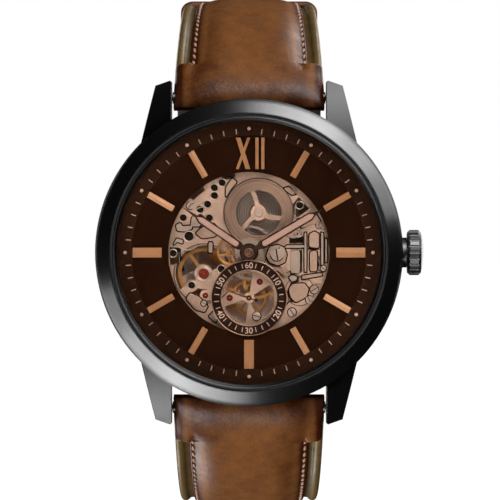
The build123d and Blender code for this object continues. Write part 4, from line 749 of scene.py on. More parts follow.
def base_profile(half, thick):
    """Base leather with a painted bead at each side: (across, height) points from left to right and back."""
    bead = [(0.0, 0.45), (0.03, 0.72), (0.14, 0.98), (0.34, 1.17), (0.62, 1.26), (0.92, 1.22), (1.18, 1.06),
            (1.36, 0.86), (1.5, 0.72), (2.0, 0.68)]
    left = [(-half + inset, height * thick) for inset, height in bead]
    right = [(half - inset, height * thick) for inset, height in reversed(bead)]
    under = [(half - 0.06, 0.12), (half - 0.3, 0.0), (0.0, 0.0), (-half + 0.3, 0.0), (-half + 0.06, 0.12)]
    return left + [(0.0, 0.68 * thick)] + right + under


def make_base(name, side, arc, tip):
    """The base leather under the stitched pad, with its painted beads."""
    notch = math.degrees(leather().notch) - BAR_ANGLE
    rings, lengths, marks = [], [], []
    stations = [s for s in pad_stations(arc, notch, tip) if s > notch]
    for past in [notch - 0.3] + stations:
        half = strap_half(past / arc)
        thick = 1.0
        if tip:
            left = math.radians(arc - past) * STRAP_RADIUS
            half = min(half, tip_half(half, left))
            thick = 1.0 - 0.5 * ease(1 - left / 4)
        profile = base_profile(max(half, 2.4), thick)
        rings.append([strap_place(side * (BAR_ANGLE + past), x, h) for x, h in profile])
        # Darker inward of the beads: painted shade in the groove beside the pad and under it; the beads keep
        # the paler edge paint.
        marks.append([0.55 if abs(x) < half - 1.25 else 0.15 for x, h in profile])
        lengths.append(math.radians(past) * STRAP_RADIUS * MM)
    return loft(name, rings, lengths, marks)


def make_lining(name, side, arc, tip):
    """The lining on the wrist's side."""
    rings, lengths, marks = [], [], []
    start = math.degrees(2.5 / STRAP_RADIUS)
    steps = int(arc / 1.5)
    stations = [start + (arc - start) * n / steps for n in range(steps + 1)]
    if tip:
        stations = sorted(stations + [arc - d for d in TIP_STEPS])
    for past in stations:
        half = strap_half(past / arc) - 0.12
        if tip:
            half = min(half, max(2.0, tip_half(half, math.radians(arc - past) * STRAP_RADIUS) - 0.12))
        across = [-half, -half + 0.12, -half + 0.4, -half / 2, 0.0, half / 2, half - 0.4, half - 0.12, half]
        under = [-0.25, -0.85, -LINING, -LINING, -LINING, -LINING, -LINING, -0.85, -0.25]
        profile = list(zip(across, under)) + [(half, -0.02), (0.0, -0.02), (-half, -0.02)]
        rings.append([strap_place(side * (BAR_ANGLE + past), x, h) for x, h in profile])
        marks.append([0.3] * len(profile))
        lengths.append(math.radians(past) * STRAP_RADIUS * MM)
    return loft(name, rings, lengths, marks)


def make_stitches(name, side, arc, last):
    """Two rows of slanted stitches along the pad's margins."""
    stitch = primitive("uv_sphere", name + "_one", segments=8, ring_count=6, radius=0.5 * MM)
    alone(stitch)
    bpy.ops.object.mode_set(mode="EDIT")
    bpy.ops.mesh.select_all(action="SELECT")
    bpy.ops.transform.resize(value=(0.46, 1.2, 0.4))
    edit_done()
    choose(stitch, lambda c, n: abs(c.y) > 0.33 * MM)
    bpy.ops.transform.translate(value=(0.0, 0.0, -0.06 * MM))
    edit_done()
    for face in stitch.data.polygons:
        face.use_smooth = True
    pitch = math.degrees(leather().stitch_pitch / MM / (STRAP_RADIUS + 1.4))
    past = math.degrees(leather().notch) - BAR_ANGLE + 0.9
    places = []
    while past < last:
        half = strap_half(past / arc)
        for edge in (-1, 1):
            spot = strap_frame(side * (BAR_ANGLE + past), edge * (half - MARGIN - 0.62), 1.34)
            places.append(spot @ Matrix.Rotation(math.radians(-11 * edge), 4, "Z"))
        past += pitch
    return copies(name, stitch, places)


def hole_cutter():
    """The row of adjustment holes, as one cutter."""
    drill = primitive("cylinder", "drill", vertices=32, radius=HOLE_RADIUS * MM, depth=12 * MM)
    choose(drill, lambda c, n: abs(n.z) > 0.9)
    bpy.ops.mesh.inset(thickness=0.2 * MM)
    edit_done()
    places = []
    for n in range(HOLES):
        places.append(strap_frame(-(BAR_ANGLE + LONG_ARC - FIRST_HOLE - HOLE_PITCH * n), 0.0, 0.5))
    return copies("drills", drill, places)


def tongue_cutter():
    """The room round the buckle's bar in the strap's end."""
    cutter = primitive("cylinder", "tongue_room", vertices=40, radius=3.1 * MM, depth=2.2 * MM,
                       rotation=(0, math.radians(90), 0), location=strap_place(BAR_ANGLE + SHORT_ARC, 0, 0))
    return cutter


def rounded_box(left, right, low, high, corner, steps):
    """A box's outline with rounded corners, anticlockwise: each point's place and its outward direction."""
    outline = []
    for cx, cy, start in ((right - corner, high - corner, 0), (left + corner, high - corner, 90),
                          (left + corner, low + corner, 180), (right - corner, low + corner, 270)):
        for step in range(steps + 1):
            a = math.radians(start + 90 * step / steps)
            outline.append((cx + corner * math.cos(a), cy + corner * math.sin(a), math.cos(a), math.sin(a)))
    return outline


def make_keeper(name, angle):
    """A loop of leather with rounded edges round the strap."""
    share = (angle - BAR_ANGLE) / SHORT_ARC
    half = strap_half(share) + 0.4 + KEEPER_WALL / 2
    low = -LINING - KEEPER_SLACK - KEEPER_WALL / 2
    high = PAD_LUGS + (PAD_TIP - PAD_LUGS) * share + KEEPER_ROOM + KEEPER_WALL / 2
    path = rounded_box(-half, half, low, high, 1.5, 8)
    length = KEEPER_LENGTH / 2
    section = rounded_box(-KEEPER_WALL / 2, KEEPER_WALL / 2, -length, length, 0.4, 3)
    rings, lengths, marks, run = [], [], [], 0.0
    for n, (x, h, nx, nh) in enumerate(path + path[:1]):
        rings.append([strap_place(angle, x + out * nx, h + out * nh, along) for out, along, *_ in section])
        marks.append([0.25 + 0.5 * (abs(along) > length - 0.5) for out, along, *_ in section])
        if n:
            run += math.dist((x, h), (path[n - 1][0], path[n - 1][1]))
        lengths.append(run * MM)
    piece = loft(name, rings, lengths, marks, closed_caps=False)
    alone(piece)
    bpy.ops.object.mode_set(mode="EDIT")
    bpy.ops.mesh.select_all(action="SELECT")
    bpy.ops.mesh.remove_doubles(threshold=0.001 * MM)
    bpy.ops.mesh.normals_make_consistent(inside=False)
    edit_done()
    return piece


# ---- operators ----
class WATCH_OT_studio(bpy.types.Operator):
    """Sets up the floor, backdrop, lamps and camera"""
    bl_idname = "watch.studio"
    bl_label = "Studio"

    def execute(self, context):
        scene = context.scene
        scene.view_settings.view_transform = "Standard"
        scene.view_settings.look = "None"
        self.room(scene)
        self.floor(context)
        self.lamps()
        self.camera(scene)
        return {"FINISHED"}

    def room(self, scene):
        """White where the camera looks, and nearly dark for everything else."""
        world = bpy.data.worlds.new("studio_room")
        scene.world = world
        world.use_nodes = True
        tree = world.node_tree
        tree.nodes.clear()
        seen = node(tree, "Background", Color=(1, 1, 1, 1), Strength=1.0)
        around = node(tree, "Background", Color=(1.0, 0.97, 0.94, 1), Strength=0.007)
        direct = node(tree, "LightPath").outputs["Is Camera Ray"]
        mixed = node(tree, "MixShader", n0=direct, n1=around.outputs[0], n2=seen.outputs[0])
        output = node(tree, "OutputWorld")
        tree.links.new(mixed.outputs[0], output.inputs["Surface"])

    def floor(self, context):
        """A pale floor that stays out of reflections."""
        low = CAD_BOX[0].z
        floor = primitive("plane", "floor", size=60.0, location=(0, 0, low - SWING_ROOM * MM))
        choose(floor, lambda c, n: True)
        bpy.ops.mesh.subdivide(number_cuts=3)
        edit_done()
        material, tree, shader = new_material("pale_floor", Roughness=0.8, Specular_IOR_Level=0.2)
        tone = blend(tree, noise(tree, coords(tree), 6.0, 2.0), (0.86, 0.86, 0.86, 1), (0.9, 0.9, 0.9, 1))
        feed(tree, shader, Base_Color=tone)
        direct = node(tree, "LightPath").outputs["Is Camera Ray"]
        shader.inputs["Emission Color"].default_value = (1, 1, 1, 1)
        near = node(tree, "VectorMath", {"operation": "LENGTH"}, n0=coords(tree)).outputs["Value"]
        glow = ranged(tree, near, 0.92, 1.05, 0.09, 0.25)
        feed(tree, shader, Emission_Strength=calc(tree, "MULTIPLY", direct, glow))
        floor.data.materials.append(material)
        floor.visible_diffuse = False
        floor.visible_glossy = False
        floor.visible_transmission = False
        floor.visible_shadow = False

    def lamp(self, name, power, size, clock, off_axis, distance):
        """A square soft lamp aimed at the dial, at a clock angle and an angle off the dial's normal."""
        data = bpy.data.lights.new(name, "AREA")
        data.energy = power
        data.shape = "RECTANGLE"
        data.size = size
        data.size_y = size
        lamp = bpy.data.objects.new(name, data)
        bpy.context.scene.collection.objects.link(lamp)
        c, o = math.radians(clock), math.radians(off_axis)
        back = Vector((math.sin(c) * math.sin(o), -math.cos(o), math.cos(c) * math.sin(o)))
        lamp.location = back * distance
        lamp.rotation_euler = (-back).to_track_quat("-Z", "Y").to_euler()

    def lamps(self):
        """Soft lamps upper right and lower left, weaker ones at the rims and behind."""
        s = studio()
        for settings in (("key_lamp", s.key, 0.42, 28, 50, NEAR),
                         ("fill_lamp", s.fill, 0.42, 209, 52, NEAR),
                         ("top_lamp", 0.22, 0.35, 20, 74, NEAR),
                         ("right_rim_lamp", 1.0, 0.3, 62, 78, NEAR),
                         ("left_rim_lamp", 1.0, 0.3, 242, 78, NEAR),
                         ("upper_sheen_lamp", 2.0, 0.34, 34, 118, FAR),
                         ("lower_sheen_lamp", 2.0, 0.34, 214, 118, FAR),
                         ("right_back_lamp", 2.2, 0.5, 80, 146, FAR),
                         ("left_back_lamp", 2.2, 0.5, 280, 146, FAR)):
            self.lamp(*settings)

    def camera(self, scene):
        s = studio()
        data = bpy.data.cameras.new("camera")
        data.sensor_width = 36.0
        data.lens = data.sensor_width * s.distance / s.view_width
        data.clip_start = 0.01
        camera = bpy.data.objects.new("camera", data)
        scene.collection.objects.link(camera)
        camera.location = (0.155 * MM, dial_level(BEZEL_TOP) - s.distance, 0.40 * MM)
        camera.rotation_euler = (math.radians(90), 0, 0)
        scene.camera = camera


class WATCH_OT_case(bpy.types.Operator):
    """Finishes the case, bezel, crown and case back in black steel"""
    bl_idname = "watch.case"
    bl_label = "Case"

    def execute(self, context):
        black = (0.20, 0.20, 0.20)
        paint("bezel", turned("black_steel_turned", black, 0.36, 0.95, rounded=0.00012))
        paint("case_middle", turned("black_steel_brushed", (0.10, 0.10, 0.10), 0.42, 0.93, rounded=0.0002))
        paint("case_back", turned("black_steel_back", black, 0.4, 0.8, 6000.0, rounded=0.0001))
        polished = grained("black_steel_polished", (0.16, 0.16, 0.165), 0.36, scale=5000.0, spread=0.1,
                           depth=0.000001, rounded=0.00008, Metallic=1.0)
        for name in ("crown", "crown_tube", "spring_bars"):
            paint(name, polished)
        rubber = grained("seal_rubber", (0.006, 0.006, 0.006), 0.7, scale=4000.0, depth=0.00001)
        for name in ("crystal_gasket", "crown_gasket"):
            paint(name, rubber)
        plastic = grained("holder_plastic", (0.02, 0.017, 0.015), 0.5, scale=1500.0, depth=0.00001)
        paint("movement_holder", plastic)
        glass = clear_glass("crystal_glass", (0.95, 0.945, 0.935, 1.0))
        for name in ("crystal", "case_back_window"):
            paint(name, glass)
        self.crystal_edge()
        return {"FINISHED"}

    def crystal_edge(self):
        """A thin pale metal ring at the crystal's chamfer: a painted reflection standing in for the light that
        shows there as a pale line.
        """
        ring = primitive("torus", "crystal_edge", major_radius=CRYSTAL_EDGE_RADIUS * MM, minor_radius=0.09 * MM,
                         major_segments=160, minor_segments=8, rotation=FACING,
                         location=(0, dial_level(CRYSTAL_EDGE_LEVEL), 0))
        smooth(ring, 60)
        # A grey metal ring as a painted reflection: it stands in for the light in the glass chamfer.
        ground = grained("chamfer_glint_metal", (0.12, 0.12, 0.12), 0.3, scale=5000.0, Metallic=0.8)
        dress(ring, ground, "case")


class WATCH_OT_dial(bpy.types.Operator):
    """Finishes the dial and adds the minute printing"""
    bl_idname = "watch.dial"
    bl_label = "Dial"

    def execute(self, context):
        s = dial()
        material, tree, shader = new_material("smoked_dial", Roughness=0.3, Specular_IOR_Level=0.12)
        radius = axis_distance(tree)
        rays = noise(tree, coords(tree), 4200.0, 3.0)
        band = ranged(tree, radius, 0.0, 1.0, TRACK_EDGE * MM, (TRACK_EDGE + 0.15) * MM)
        tone = blend(tree, band, (*s.smoke, 1), (*s.track, 1))
        tone = blend(tree, calc(tree, "MULTIPLY", rays, 0.12), tone, (*s.track, 1))
        feed(tree, shader, Base_Color=tone)
        bump(tree, shader, rays, 0.0000015)
        paint("dial_plate", material)
        paint("seconds_chapter_ring", grained("chapter_ring", s.smoke, 0.3, scale=5000.0, depth=0.000002,
                                              rounded=0.00005, Specular_IOR_Level=0.3))
        paint("hour_markers", grained("marker_bronze", s.bronze, 0.36, (0.4, 1, 0.4), 7000.0, 0.14, 0.000003,
                                      0.00005, Metallic=0.3))
        ink = grained("printing_ink", s.print_colour, 0.55, scale=6000.0, depth=0.000003)
        self.ticks(ink)
        self.dots(ink)
        return {"FINISHED"}

    def ticks(self, ink):
        tick = primitive("cube", "tick", size=1.0, scale=(0.15 * MM, 0.03 * MM, 0.80 * MM),
                         location=(0, dial_level(TRACK_TOP + PRINT), TICK_RADIUS * MM))
        bevel_edges(tick, 0.012 * MM, 1)
        places = [clock_turn(6 * n) for n in range(60) if n % 5]
        dress(copies("minute_ticks", tick, places), ink, "case")

    def dots(self, ink):
        dot = primitive("cylinder", "dot", vertices=20, radius=0.27 * MM, depth=0.06 * MM,
                        rotation=FACING, location=(0, dial_level(TRACK_TOP + 0.025), DOT_RADIUS * MM))
        bevel_edges(dot, 0.02 * MM, 2)
        smooth(dot)
        places = [clock_turn(30 * n) for n in range(12)]
        dress(copies("five_minute_dots", dot, places), ink, "case")


class WATCH_OT_seconds_scale(bpy.types.Operator):
    """Adds the numbers, ticks and rims of the small seconds ring"""
    bl_idname = "watch.seconds_scale"
    bl_label = "Seconds scale"

    def execute(self, context):
        ink = grained("scale_ink", (0.42, 0.27, 0.20), 0.5, scale=6000.0, depth=0.000003)
        rim = grained("scale_rim", (0.40, 0.22, 0.13), 0.35, scale=6000.0, depth=0.000002, Metallic=0.6)
        self.rim("scale_rim_outer", SUBDIAL_OUTER - 0.06, rim)
        self.rim("scale_rim_inner", SUBDIAL_INNER + 0.06, rim)
        self.ticks(ink)
        for number in (60, 10, 20, 30, 40, 50):
            self.number(number, ink)
        return {"FINISHED"}

    def rim(self, name, radius, material):
        ring = primitive("torus", name, major_radius=radius * MM, minor_radius=0.06 * MM, major_segments=96,
                         minor_segments=8, rotation=FACING,
                         location=(0, dial_level(SUBDIAL_TOP), SUBDIAL_Z * MM))
        smooth(ring, 60)
        dress(ring, material, "case")

    def ticks(self, ink):
        tick = primitive("cube", "scale_tick", size=1.0, scale=(0.12 * MM, 0.03 * MM, 0.72 * MM),
                         location=(0, dial_level(SUBDIAL_TOP + PRINT), SCALE_TICK_RADIUS * MM))
        bevel_edges(tick, 0.01 * MM, 1)
        shift = moved(0, 0, SUBDIAL_Z)
        places = [shift @ clock_turn(angle) for angle in range(0, 360, 12) if angle % 60]
        dress(copies("scale_ticks", tick, places), ink, "case")

    def number(self, number, ink):
        """A printed number that stands upright at its place on the ring."""
        bpy.ops.object.select_all(action="DESELECT")
        bpy.ops.object.text_add()
        text = bpy.context.object
        text.data.body = str(number)
        text.data.align_x = "CENTER"
        text.data.align_y = "CENTER"
        text.data.size = SCALE_NUMBER_SIZE * MM
        text.data.extrude = 0.015 * MM
        text.data.offset = 0.012 * MM
        text.data.resolution_u = 4
        text.name = "scale_number_" + str(number)
        turn = number * 6 % 360
        upside = 180 if 90 < turn < 270 else 0
        up = Matrix.Rotation(math.radians(90), 4, "X")
        spot = moved(0, SUBDIAL_TOP + PRINT, SCALE_NUMBER_RADIUS)
        alone(text)
        bpy.ops.object.convert(target="MESH")
        text = bpy.context.object
        low = min(v.co.y for v in text.data.vertices)
        high = max(v.co.y for v in text.data.vertices)
        left = min(v.co.x for v in text.data.vertices)
        right = max(v.co.x for v in text.data.vertices)
        text.data.transform(Matrix.Translation((-(left + right) / 2, -(low + high) / 2, 0)))
        text.data.transform(Matrix.Diagonal((0.98, 1.0, 1.0, 1.0)))
        place = moved(0, 0, SUBDIAL_Z) @ clock_turn(turn) @ spot @ clock_turn(upside) @ up
        text.data.transform(place)
        dress(text, ink, "case")


class WATCH_OT_hands(bpy.types.Operator):
    """Finishes the hands and fills them with luminous paint"""
    bl_idname = "watch.hands"
    bl_label = "Hands"

    def execute(self, context):
        brown = grained("hand_brown", (0.030, 0.0105, 0.0045), 0.3, scale=5000.0, spread=0.2, depth=0.000002,
                        rounded=0.00006, Metallic=0.3)
        for name in ("hour_hand", "minute_hand", "seconds_hand"):
            paint(name, brown)
        lume = grained("luminous_paint", dial().lume, 0.6, scale=7000.0, spread=0.06, depth=0.000006)
        self.filling("hour_filling", HOUR_SLOT, HOUR_HAND_BOTTOM, HOUR_ANGLE, "hour_group", lume)
        self.filling("minute_filling", MINUTE_SLOT, MINUTE_HAND_BOTTOM, MINUTE_ANGLE, "minute_group", lume)
        self.cap()
        return {"FINISHED"}

    def filling(self, name, slot, bottom, angle, body, material):
        """The bar of luminous paint in a hand's slot."""
        half = HAND_THICKNESS / 2
        wall = (HAND_WIDTH - SLOT_WIDTH) / 2
        start, stop = slot[0] + wall, slot[1] - HAND_WIDTH / 2
        block = primitive("cube", name, size=1.0,
                          scale=((SLOT_WIDTH - 0.01) * MM, HAND_THICKNESS * 0.8 * MM, (stop - start) * MM),
                          location=(0, dial_level(bottom + half), (start + stop) / 2 * MM))
        choose(block, lambda c, n: n.z > 0.9)
        bpy.ops.mesh.extrude_region_move(TRANSFORM_OT_translate={"value": (0, 0, (slot[1] - stop - 0.02) * MM)})
        middle = dial_level(bottom + half)
        bpy.ops.transform.resize(value=(0.16, 1.0, 1.0), center_override=(0, middle, slot[1] * MM))
        edit_done()
        choose(block, lambda c, n: n.z < -0.9)
        bpy.ops.mesh.extrude_region_move(TRANSFORM_OT_translate={"value": (0, 0, -(wall - 0.01) * MM)})
        bpy.ops.transform.resize(value=(0.5, 1.0, 1.0), center_override=(0, middle, slot[0] * MM))
        edit_done()
        bevel_edges(block, 0.02 * MM, 2)
        block.data.transform(clock_turn(angle))
        dress(block, material, body)

    def cap(self):
        """The cap over the centre arbor."""
        cap = primitive("cylinder", "hand_cap", vertices=48, radius=0.62 * MM, depth=0.16 * MM,
                        rotation=FACING, location=(0, dial_level(HAND_CAP_LEVEL), 0))
        choose(cap, lambda c, n: n.y < -0.9)
        bpy.ops.mesh.inset(thickness=0.26 * MM)
        bpy.ops.mesh.inset(thickness=0.04 * MM, depth=-0.05 * MM)
        edit_done()
        bevel_edges(cap, 0.02 * MM, 2)
        smooth(cap)
        dress(cap, grained("cap_bronze", (0.16, 0.075, 0.04), 0.3, scale=5000.0, depth=0.000002, Metallic=0.7),
              "minute_group")


class WATCH_OT_movement(bpy.types.Operator):
    """Finishes the plates, wheels, screws and jewels"""
    bl_idname = "watch.movement"
    bl_label = "Movement"

    def execute(self, context):
        plate = self.plate("plate_champagne", movement().plate)
        for name in ("main_plate", "barrel_spider", "keyless_cover", "pallet_bridge"):
            paint(name, plate)
        striped = self.striped("plate_striped", (0.46, 0.31, 0.22))
        for name in ("barrel_bridge", "balance_cock", "automatic_bridge"):
            paint(name, striped)
        # The train bridge lies deep below the main plate; its colour is made paler than the plates', painted
        # light where shade falls on it.
        pale = grained("bridge_painted_light", (0.72, 0.50, 0.36), 0.5, scale=2600.0, spread=0.2, depth=0.000008)
        paint("train_bridge", pale)
        gilt = turned("wheel_gilt", movement().gilt, 0.42, 0.4, 7000.0, rounded=0.00004)
        for name in ("balance_wheel", "third_wheel", "fourth_wheel", "escape_wheel", "minute_wheel",
                     "reverser_wheel", "reduction_wheel"):
            paint(name, gilt)
        barrel = turned("barrel_drum_steel", (0.50, 0.36, 0.27), 0.45, 0.6, 6000.0, centre=BARREL,
                        rounded=0.00006)
        for name in ("barrel_drum", "ratchet_wheel"):
            paint(name, barrel)
        steel = grained("steel_bright", movement().steel, 0.34, scale=4000.0, spread=0.15, depth=0.000003,
                        rounded=0.00005, Metallic=0.5)
        for name in ("movement_screws", "barrel_arbor", "click", "crown_wheel", "cannon_pinion", "winding_stem",
                     "winding_pinion", "sliding_clutch", "setting_lever", "pallet_fork", "reverser_pinion",
                     "center_wheel", "hour_wheel"):
            paint(name, steel)
        # The mainspring lies deep in the barrel; its steel is made paler than the other steel, painted light
        # where shade falls on it.
        paint("mainspring", grained("mainspring_steel_painted_light", (0.62, 0.48, 0.38), 0.3, scale=4000.0, Metallic=0.35))
        paint("hairspring", grained("hairspring_blue", (0.10, 0.09, 0.12), 0.3, scale=4000.0, Metallic=0.9))
        ruby = grained("jewel_ruby", movement().ruby, 0.12, scale=3000.0, spread=0.3, depth=0.000001,
                       Coat_Weight=0.6)
        paint("jewels", ruby)
        paint("rotor", turned("rotor_brass", (0.62, 0.48, 0.34), 0.4, 0.85, 5000.0, rounded=0.0001))
        return {"FINISHED"}

    def plate(self, name, colour):
        """Grained champagne metal with fine turned recesses round the wheel centres, darkened there with
        painted shade.
        """
        material, tree, shader = new_material(name, Metallic=0.35)
        grain = noise(tree, coords(tree), 2600.0, 4.0, 0.6)
        broad = noise(tree, coords(tree), 230.0, 3.0)
        height = calc(tree, "MULTIPLY", grain, 0.12)
        for centre, first, last in ((BARREL, 5.25, 5.45), (CENTRE, 2.75, 2.9), (BALANCE, 4.55, 4.75),
                                    (CROWN_SPOT, 3.2, 3.35), (LOWER_SPOT, 2.2, 2.35)):
            away = axis_distance(tree, centre)
            inside = calc(tree, "GREATER_THAN", away, first * MM)
            height = calc(tree, "SUBTRACT", height, calc(tree, "MULTIPLY", inside,
                                                         calc(tree, "LESS_THAN", away, last * MM)))
        low = blend(tree, ranged(tree, broad, 0.0, 1.0, 0.35, 0.65), shade_of(colour, 0.72),
                    shade_of(colour, 1.22))
        # Painted shade: in the turned recesses the colour falls to about a fifth.
        groove = ranged(tree, height, 0.22, 1.0, -0.6, -0.2)
        tone = node(tree, "Mix", {"data_type": "RGBA", "blend_type": "MULTIPLY"}, n0=1.0, n6=low,
                    n7=groove).outputs[2]
        feed(tree, shader, Base_Color=tone, Roughness=ranged(tree, grain, 0.34, 0.5))
        bump(tree, shader, height, 0.00002, 1.0, 0.00009)
        return material

    def striped(self, name, colour):
        """Broad decorative stripes over fine grain."""
        material, tree, shader = new_material(name, Metallic=0.3)
        place = coords(tree)
        wave = node(tree, "TexWave", {"wave_profile": "SAW"}, Vector=place, Scale=160.0,
                    Distortion=0.0).outputs["Fac"]
        fine = noise(tree, coords(tree, (1, 1, 0.1)), 5000.0, 3.0)
        tone = blend(tree, wave, shade_of(colour, 0.8), shade_of(colour, 1.15))
        feed(tree, shader, Base_Color=tone, Roughness=ranged(tree, fine, 0.28, 0.42))
        bump(tree, shader, wave, 0.00001, 0.6, 0.00008)
        return material


class WATCH_OT_works(bpy.types.Operator):
    """Adds the small plates, levers, springs, screw heads and hole rims on the dial side of the movement"""
    bl_idname = "watch.works"
    bl_label = "Works"

    def execute(self, context):
        self.champagne = grained("works_champagne", movement().plate, 0.36, scale=3000.0, spread=0.2,
                                 depth=0.000004, rounded=0.00006, Metallic=0.45)
        self.steel = grained("works_steel", movement().steel, 0.3, scale=4000.0, spread=0.15, depth=0.000003,
                             rounded=0.00005, Metallic=0.6)
        # Flat near-black for sheets of painted shade: round the plates and levers, in the holes, round the
        # screw heads and in their slots.
        self.dark = grained("works_painted_shade", (0.008, 0.004, 0.002), 0.7, scale=3000.0, depth=0.000003,
                            Specular_IOR_Level=0.05)
        self.covers()
        self.springs()
        self.rims()
        self.screws()
        self.barrel_ring()
        return {"FINISHED"}

    def covers(self):
        """Flat plates and levers, each over a slightly larger dark sheet of painted shade."""
        for name, (points, thick, bright, *raised) in COVERS.items():
            shape = softened(points)
            metal = self.steel if bright else self.champagne
            base = PLATE_TOP + sum(raised)
            self.sheet("cover_" + name, shape, base + 0.02, base + thick, metal, 0.04)
            # A slightly larger dark sheet under each plate: painted shade round its outline.
            self.sheet("recess_" + name, grown(shape, SHADE_MARGIN), base - 0.03, base + 0.015, self.dark, 0.005)

    def sheet(self, name, outline, low, high, material, edge):
        """A flat plate with bevelled edges between two heights."""
        sheet = primitive("circle", name, vertices=len(outline), fill_type="NGON")
        for vert, spot in zip(sheet.data.vertices, outline):
            vert.co = (spot[0] * MM, dial_level(low), spot[1] * MM)
        choose(sheet, lambda c, n: True)
        bpy.ops.mesh.extrude_region_move(TRANSFORM_OT_translate={"value": (0, (low - high) * MM, 0)})
        bpy.ops.mesh.select_all(action="SELECT")
        bpy.ops.mesh.normals_make_consistent(inside=False)
        edit_done()
        bevel_edges(sheet, edge * MM, 1, 25)
        dress(sheet, material, "case")

    def springs(self):
        """Curved springs: centre, radius, first and last clock angle, width."""
        curves = {
            "click_spring": (BARREL, 6.6, 62, 118, 0.22),
            "clutch_spring": ((8.6, -0.4), 3.9, 20, 80, 0.2),
            "lever_spring": ((5.2, -5.9), 2.6, 20, 100, 0.2),
            "jumper_spring": ((-9.6, 2.3), 1.9, 230, 330, 0.2),
            "upper_spring": ((-7.2, 5.6), 1.5, 10, 150, 0.16),
            "recess_line": (BARREL, 5.75, 190, 300, 0.14),
        }
        for name, (centre, radius, start, stop, width) in curves.items():
            strip = primitive("plane", name, size=1.0)
            for vert, (x, y) in zip(strip.data.vertices, ((-0.5, 0), (0.5, 0), (-0.5, 1), (0.5, 1))):
                vert.co = (0, dial_level(PLATE_TOP + 0.02 + 0.2 * y), (radius + x * width) * MM)
            strip.data.transform(clock_turn(start))
            choose(strip, lambda c, n: True)
            bpy.ops.mesh.spin(steps=max(6, (stop - start) // 5), angle=math.radians(stop - start),
                              center=(0, 0, 0), axis=(0, 1, 0))
            bpy.ops.mesh.select_all(action="SELECT")
            bpy.ops.mesh.normals_make_consistent(inside=False)
            edit_done()
            strip.data.transform(moved(centre[0], 0, centre[1]))
            smooth(strip)
            dress(strip, self.steel, "case")

    def rims(self):
        """Steel rims round pivot and screw holes; each hole is a flat dark disc of painted shade."""
        setting = primitive("torus", "balance_setting", major_radius=1.02 * MM, minor_radius=0.2 * MM,
                            major_segments=40, minor_segments=10, rotation=FACING)
        smooth(setting)
        setting.data.transform(moved(BALANCE[0], PLATE_TOP, BALANCE[1]))
        dress(setting, self.steel, "case")
        for size, spots in ((0.62, HOLES_SMALL), (0.8, HOLES_LARGE)):
            rim = primitive("torus", "rim", major_radius=size * MM, minor_radius=0.08 * MM, major_segments=28,
                            minor_segments=8, rotation=FACING)
            # The hole is a flat near-black disc at the plate's top, painted shade standing in for its depth.
            hole = primitive("cylinder", "hole", vertices=28, radius=(size - 0.02) * MM, depth=0.08 * MM,
                             rotation=FACING)
            for piece, level, material in ((rim, 0.06, self.steel), (hole, 0.0, self.dark)):
                smooth(piece)
                places = [moved(x, PLATE_TOP + level, z) for x, z in spots]
                name = "hole_" + piece.name + ("_small" if spots is HOLES_SMALL else "_large")
                dress(copies(name, piece, places), material, "case")

    def screws(self):
        """Slotted screw heads, each with a dark disc of painted shade round its foot and a dark block of
        painted shade in its slot.
        """
        for n, (x, z, radius, turn, seat_height) in enumerate(SCREW_HEADS):
            base = PLATE_TOP + seat_height
            head = primitive("cylinder", "screw_head_%02d" % n, vertices=36, radius=radius * MM,
                             depth=0.22 * MM, rotation=FACING)
            slot = primitive("cube", "slot", size=1.0, location=(0, -0.1 * MM, 0),
                             scale=(2.4 * radius * MM, 0.1 * MM, 0.24 * radius * MM))
            cut(head, slot)
            bpy.data.objects.remove(slot)
            bevel_edges(head, 0.035 * MM, 2)
            smooth(head)
            lift = moved(x, base + 0.16, z) @ clock_turn(turn)
            head.data.transform(lift)
            dress(head, self.steel, "case")
            # Painted shade: a dark disc round the head's foot and a dark block in the slot.
            seat = primitive("cylinder", "screw_shade_ring_%02d" % n, vertices=36, radius=(radius + 0.16) * MM,
                             depth=0.05 * MM, rotation=FACING)
            floor = primitive("cube", "slot_shade_%02d" % n, size=1.0,
                              scale=(1.9 * radius * MM, 0.12 * MM, 0.2 * radius * MM))
            seat.data.transform(moved(x, base + 0.03, z))
            floor.data.transform(lift)
            dress(seat, self.dark, "case")
            dress(floor, self.dark, "case")

    def barrel_ring(self):
        """The broad turned ring over the barrel, with a fine groove line."""
        metal = turned("barrel_ring_metal", movement().plate, 0.42, 0.15, 5200.0, 0.35, 0.000006, BARREL,
                       0.00005)
        for name, outer, inner, low, high in (("barrel_ring", 4.95, 3.55, 0.02, 0.12),
                                              ("barrel_ring_lip", 5.3, 5.08, 0.02, 0.16)):
            ring = primitive("cylinder", name, vertices=96, radius=outer * MM, depth=(high - low) * MM,
                             rotation=FACING)
            bore = primitive("cylinder", "bore", vertices=96, radius=inner * MM, depth=2 * MM,
                             rotation=FACING)
            cut(ring, bore)
            bpy.data.objects.remove(bore)
            bevel_edges(ring, 0.02 * MM, 1)
            smooth(ring)
            ring.data.transform(moved(BARREL[0], PLATE_TOP + (low + high) / 2, BARREL[1]))
            dress(ring, metal, "case")


